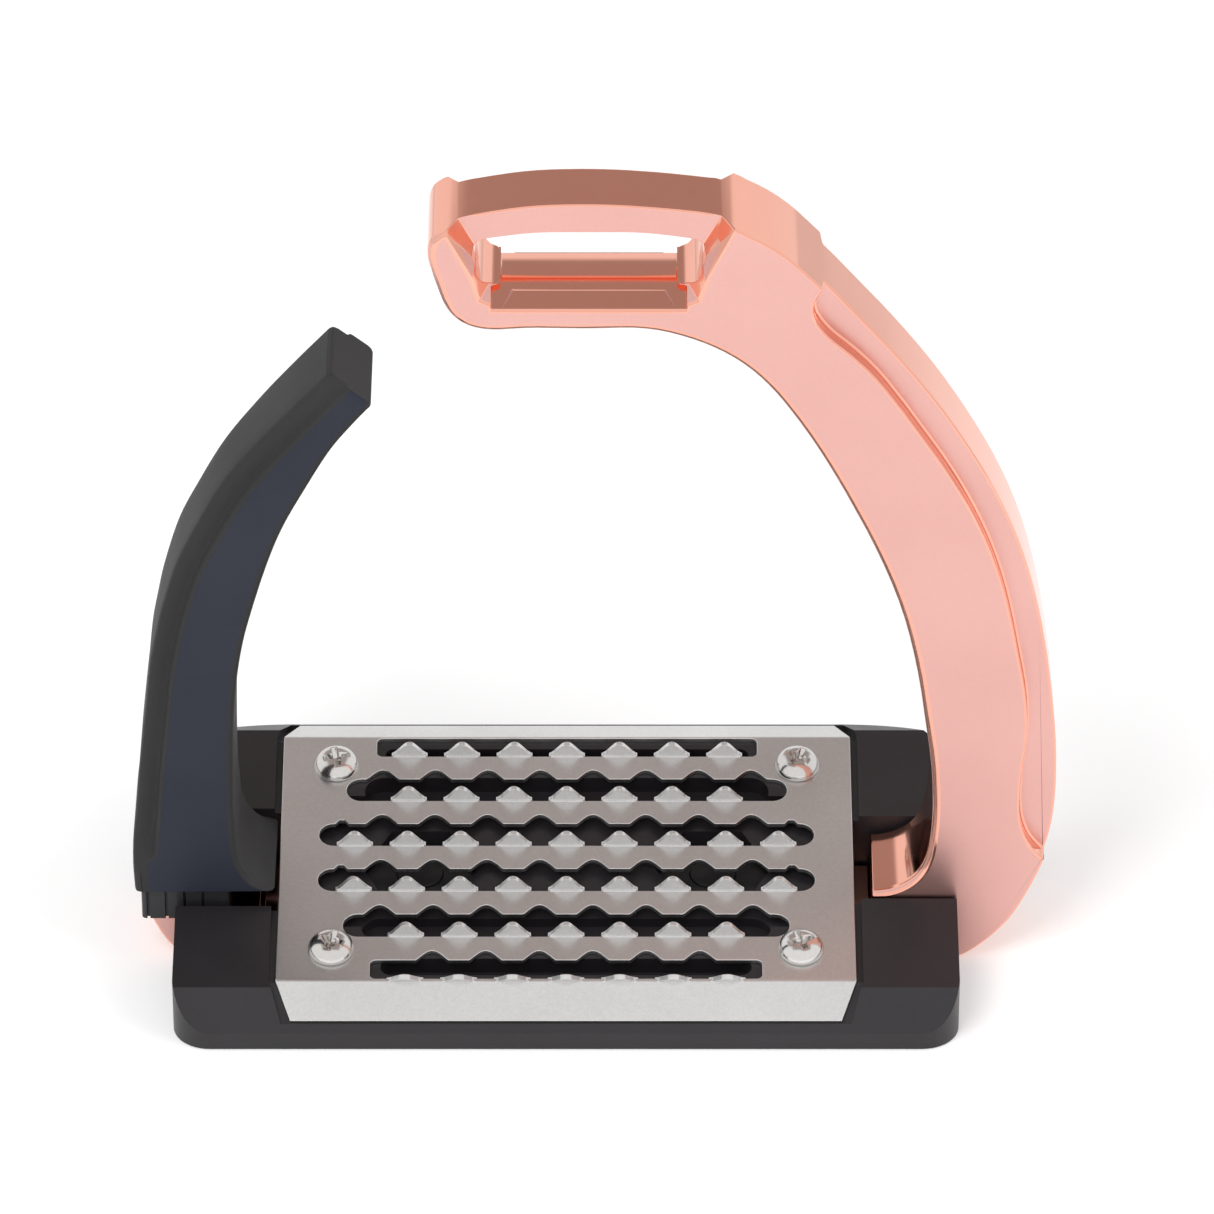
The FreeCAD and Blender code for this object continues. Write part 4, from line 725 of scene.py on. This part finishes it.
teeth_places = []
for row, (half, teeth, humps) in enumerate(ROWS):
    near, far = row_edges(row)
    lean = FLANGE_ANGLE if row == 5 else 0.0
    for k in range(teeth):
        x = (k - (teeth - 1) / 2) * PITCH
        place = (near - 0.55, -0.45) if row == 5 else (near + 0.05, -0.05)
        spot = TO_TREAD @ Vector((x * MM, place[0] * MM, place[1] * MM))
        teeth_places.append((spot, (TILT + lean, 0.0, 0.0)))
tooth = tooth_form()
tree, ids = copies_tree("teeth_on_points", tooth, BLASTED)
teeth = grown_on_points("tread_teeth", teeth_places, tree, {ids["Size"]: 1.0})
bpy.data.objects.remove(tooth)
# fold faces that face front and up take the lighter steel: painted highlight
teeth.data.materials.append(HIGHLIGHT_STEEL)
level = TO_TREAD.to_3x3().inverted()
for face in teeth.data.polygons:
    way = level @ face.normal
    if abs(way.x) < 0.2 and way.y < -0.3 and 0.2 < way.z < 0.97:
        face.material_index = 1
# the teeth's roundings take the lighter steel too: painted highlight
teeth = rounded_edges(teeth, 0.15 * MM, steps=2, angle=40, finish=1)
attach(teeth, "stirrup")
print("teeth:", len(teeth_places))
count(teeth)

# %% [markdown]
# ## Screws
# Four pan-head screws with cross recesses hold the plate down. One screw is turned on a lathe, so a
# half profile is spun round, and the recess is cut out of it. Geometry Nodes then set it down four
# times, each turned differently, because real screws stop where they are tight.


# %% One screw
def spun(name, profile, steps=48):
    """A closed solid of revolution about Z from (radius, height) pairs in millimetres."""
    bm = bmesh.new()
    rings = []
    for r, z in profile:
        if r < 1e-6:
            rings.append([bm.verts.new((0, 0, z * MM))])
        else:
            rings.append([bm.verts.new((r * MM * math.cos(2 * math.pi * k / steps),
                                        r * MM * math.sin(2 * math.pi * k / steps), z * MM))
                          for k in range(steps)])
    for low, high in zip(rings[:-1], rings[1:]):
        for k in range(steps):
            j = (k + 1) % steps
            corners = [low[k % len(low)], low[j % len(low)], high[j % len(high)], high[k % len(high)]]
            corners = list(dict.fromkeys(corners))
            if len(corners) > 2:
                bm.faces.new(corners)
    bmesh.ops.recalc_face_normals(bm, faces=bm.faces)
    mesh = bpy.data.meshes.new(name)
    bm.to_mesh(mesh)
    bm.free()
    return mesh


def cross_tool(length, width, depth, top):
    """A tapering cross, pointing down, for cutting the recess."""
    bm = bmesh.new()
    rings = []
    for shrink, z in ((1.12, top + 0.5), (1.0, top), (0.62, top - depth), (0.3, top - depth - 0.4)):
        ring = []
        for quarter in range(4):
            a = math.radians(90 * quarter)
            for u, w in ((length, -width), (length, width), (width * 1.4, width * 1.4)):
                u, w = u * shrink, w * (shrink + 1) / 2
                ring.append(bm.verts.new(((u * math.cos(a) - w * math.sin(a)) * MM,
                                          (u * math.sin(a) + w * math.cos(a)) * MM, z * MM)))
        rings.append(ring)
    for low, high in zip(rings[:-1], rings[1:]):
        for k in range(12):
            bm.faces.new((low[k], low[(k + 1) % 12], high[(k + 1) % 12], high[k]))
    bm.faces.new(rings[0])
    bm.faces.new(list(reversed(rings[-1])))
    bmesh.ops.recalc_face_normals(bm, faces=bm.faces)
    mesh = bpy.data.meshes.new("cross")
    bm.to_mesh(mesh)
    bm.free()
    return mesh


HEAD = [(0.0, 2.9), (0.9, 2.87), (1.8, 2.72), (2.6, 2.40), (3.2, 1.98), (3.65, 1.45), (3.92, 0.9),
        (4.0, 0.5), (3.95, 0.22), (3.8, 0.06), (3.6, 0.0), (2.0, 0.0), (2.0, -6.3), (1.4, -7.0),
        (0.0, -7.0)]
screw_mesh = spun("screw_form", HEAD)
screw_form = bpy.data.objects.new("screw_form", screw_mesh)
cross_form = bpy.data.objects.new("cross_form", cross_tool(2.35, 0.5, 1.7, 2.9))
for made in (screw_form, cross_form):
    scene.collection.objects.link(made)
cut = screw_form.modifiers.new("recess", "BOOLEAN")
cut.operation = "DIFFERENCE"
cut.solver = "EXACT"
cut.object = cross_form
bpy.context.view_layer.update()
screw_form = applied(screw_form)
bpy.data.objects.remove(cross_form)
screw_form = rounded_edges(screw_form, 0.08 * MM, steps=2, angle=35)
count(screw_form)


# %% [markdown]
# The copies are real mesh at the end, so the recess gets its painted shade by place: what lies near
# a screw's axis, below the head's top, and doesn't face straight up is painted dark brown.

# %% Four screws on the plate
screw_places = []
for sx, sy, spin in ((-1, 1, 12), (1, 1, 58), (-1, -1, 70), (1, -1, 20)):
    spot = TO_TREAD @ Vector((sx * SCREW_X * MM, sy * SCREW_Y * MM, 0))
    turned = Matrix.Rotation(TILT, 3, "X") @ Matrix.Rotation(math.radians(spin), 3, "Z")
    screw_places.append((spot, tuple(turned.to_euler("XYZ"))))
tree, ids = copies_tree("screws_on_points", screw_form, SCREW_STEEL)
screws = grown_on_points("plate_screws", screw_places, tree, {ids["Size"]: 1.0})
# the recess faces take the dark brown: painted shade
screws.data.materials.append(RECESS_SHADE)
up = TO_TREAD.to_3x3() @ Vector((0, 0, 1))
for face in screws.data.polygons:
    head = min((spot for spot, turn in screw_places), key=lambda spot: (face.center - spot).length)
    rise = (face.center - head).dot(up)
    aside = (face.center - head - up * rise).length
    if aside < 2.45 * MM and 0.9 * MM < rise < 2.86 * MM and face.normal.dot(up) < 0.8:
        face.material_index = 1
screws.data.shade_smooth()
screws.data.set_sharp_from_angle(angle=math.radians(35))
bpy.data.objects.remove(screw_form)
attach(screws, "stirrup")
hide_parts("tread_screws")
count(screws)

# %% [markdown]
# ## Nuts and bolts
# Two black nuts sit in wells under the plate, and the ends of their bolts show through the slots.
# Their solids are right as they are, so they get fine roundings and a dark oxide finish. The pin,
# the rivets and the inserts are hidden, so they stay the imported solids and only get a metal.

# %% Nuts, bolts and the hidden fittings
for node, name, width in (("frame_nuts", "bar_nuts", 0.2), ("frame_bolts", "bar_bolts", 0.12)):
    piece = merged_copy(node, name)
    piece.data.materials.append(BLACK_OXIDE)
    piece = rounded_edges(piece, width * MM, steps=2, angle=30)
    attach(piece, "stirrup")
    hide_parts(node)
    count(piece)
hidden = (("arm_pin", BOLT_STEEL), ("leaf_rivets", BOLT_STEEL), ("screw_inserts", BRASS))
for node, material in hidden:
    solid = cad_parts[node]
    solid.data.materials.clear()
    solid.data.materials.append(material)

# %% [markdown]
# ## Floor, light and camera
# The stirrup stands on a white floor that keeps its shadow. Large soft lamps light it from above.
# Polished metal needs something dark to mirror, so reflections see a darker ceiling overhead, from
# above the back of the white sweep to just in front of straight up, as in a photo studio.

# %% Floor
floor_mesh = bpy.data.meshes.new("studio_floor")
floor_mesh.from_pydata([(-4, -4, 0), (4, -4, 0), (4, 4, 0), (-4, 4, 0)], [], [(0, 1, 2, 3)])
floor = bpy.data.objects.new("studio_floor", floor_mesh)
scene.collection.objects.link(floor)
floor.location.z = -0.0002
paper = bpy.data.materials.new("paper_floor")
paper.use_nodes = True
nodes, link = paper.node_tree.nodes, paper.node_tree.links.new
nodes.clear()
matt = nodes.new("ShaderNodeBsdfDiffuse")
matt.inputs["Color"].default_value = (0.86, 0.86, 0.86, 1)
glow = nodes.new("ShaderNodeEmission")
glow.inputs["Color"].default_value = (1, 1, 1, 1)
seen = nodes.new("ShaderNodeLightPath")
rays = nodes.new("ShaderNodeMath")
rays.operation = "MAXIMUM"
strength = nodes.new("ShaderNodeMath")
strength.operation = "MULTIPLY"
strength.inputs[1].default_value = 0.22
add = nodes.new("ShaderNodeAddShader")
out = nodes.new("ShaderNodeOutputMaterial")
link(seen.outputs["Is Camera Ray"], rays.inputs[0])
link(seen.outputs["Is Glossy Ray"], rays.inputs[1])
link(rays.outputs[0], strength.inputs[0])
link(strength.outputs[0], glow.inputs["Strength"])
link(matt.outputs[0], add.inputs[0])
link(glow.outputs[0], add.inputs[1])
link(add.outputs[0], out.inputs["Surface"])
floor.data.materials.append(paper)
print("floor at height:", round(floor.location.z, 4))

# %% [markdown]
# ### The sky
# The world is plain white to the camera and dimmer for soft light. Only what mirrors see has a dark
# zone, set by direction, and its edges are soft. A real black card over the stirrup would do the
# same, but it would also cast a shadow on the floor.

# %% World
world = bpy.data.worlds.new("studio")
scene.world = world
world.use_nodes = True
nodes, link = world.node_tree.nodes, world.node_tree.links.new


def world_math(operation, a, b=None):
    """A Math node on two values, each a socket or a number."""
    node = nodes.new("ShaderNodeMath")
    node.operation = operation
    for slot, value in enumerate((a, b)):
        if value is None:
            continue
        if isinstance(value, (int, float)):
            node.inputs[slot].default_value = value
        else:
            link(value, node.inputs[slot])
    return node.outputs[0]


def soft_step(value, low, high):
    """A socket that rises smoothly from 0 at low to 1 at high."""
    node = nodes.new("ShaderNodeMapRange")
    node.interpolation_type = "SMOOTHSTEP"
    node.inputs["From Min"].default_value = low
    node.inputs["From Max"].default_value = high
    link(value, node.inputs["Value"])
    return node.outputs["Result"]


coords = nodes.new("ShaderNodeTexCoord")
way = nodes.new("ShaderNodeSeparateXYZ")
link(coords.outputs["Generated"], way.inputs[0])
above = soft_step(way.outputs["Z"], 0.36, 0.46)
behind = soft_step(way.outputs["Y"], -0.33, -0.24)
dark = world_math("MULTIPLY", above, behind)
beside = soft_step(world_math("ABSOLUTE", way.outputs["X"]), 0.40, 0.56)
dark = world_math("MULTIPLY", dark, world_math("SUBTRACT", 1.0, beside))
tint = nodes.new("ShaderNodeMix")
tint.data_type = "RGBA"
tint.inputs["A"].default_value = (1, 1, 1, 1)
tint.inputs["B"].default_value = (0.43, 0.375, 0.355, 1)
link(dark, tint.inputs["Factor"])
seen = nodes.new("ShaderNodeLightPath")
plain = world_math("MAXIMUM", seen.outputs["Is Camera Ray"], seen.outputs["Is Transmission Ray"])
clear = nodes.new("ShaderNodeMix")
clear.data_type = "RGBA"
clear.inputs["A"].default_value = (0.62, 0.62, 0.62, 1)
link(seen.outputs["Is Glossy Ray"], clear.inputs["Factor"])
link(tint.outputs["Result"], clear.inputs["B"])
white = nodes.new("ShaderNodeMix")
white.data_type = "RGBA"
white.inputs["B"].default_value = (1, 1, 1, 1)
link(plain, white.inputs["Factor"])
link(clear.outputs["Result"], white.inputs["A"])
link(white.outputs["Result"], nodes["Background"].inputs["Color"])
print("world nodes:", len(nodes))

# %% [markdown]
# Two wide lamps give the form its soft light side and shadow. They are hidden from mirrors, or their
# hard squares would show on the polished faces.


# %% Lamps
def lamp(name, place, aim, size, power):
    data = bpy.data.lights.new(name, "AREA")
    data.shape = "RECTANGLE"
    data.size, data.size_y = size
    data.energy = power
    made = bpy.data.objects.new(name, data)
    scene.collection.objects.link(made)
    made.location = place
    made.rotation_euler = (Vector(aim) - Vector(place)).to_track_quat("-Z", "Y").to_euler()
    made.visible_glossy = False
    return made


TARGET = (0, 0, 0.07)
lamp("key", (-0.5, -0.7, 1.1), TARGET, (0.7, 0.7), 9)
lamp("fill", (0.9, -0.4, 0.6), TARGET, (0.6, 0.8), 4)
print("lamps:", len(bpy.data.lights))

# %% [markdown]
# The photograph looks down on the tread from the front at about 35 degrees, with a long lens from about
# 1.5 m, so the camera leans 55 degrees up from straight down.

# %% Camera
lens = bpy.data.cameras.new("camera")
lens.sensor_width = 36.0
lens.lens = 253.54
lens.clip_start, lens.clip_end = 0.05, 50
camera = bpy.data.objects.new("camera", lens)
scene.collection.objects.link(camera)
camera.location = (0.007105, -1.20357, 0.91179)
camera.rotation_euler = (math.radians(55), 0, 0)
scene.camera = camera
scene.view_settings.view_transform = "Standard"
print("camera at:", tuple(round(v, 3) for v in camera.location), "lens:", round(lens.lens, 1))
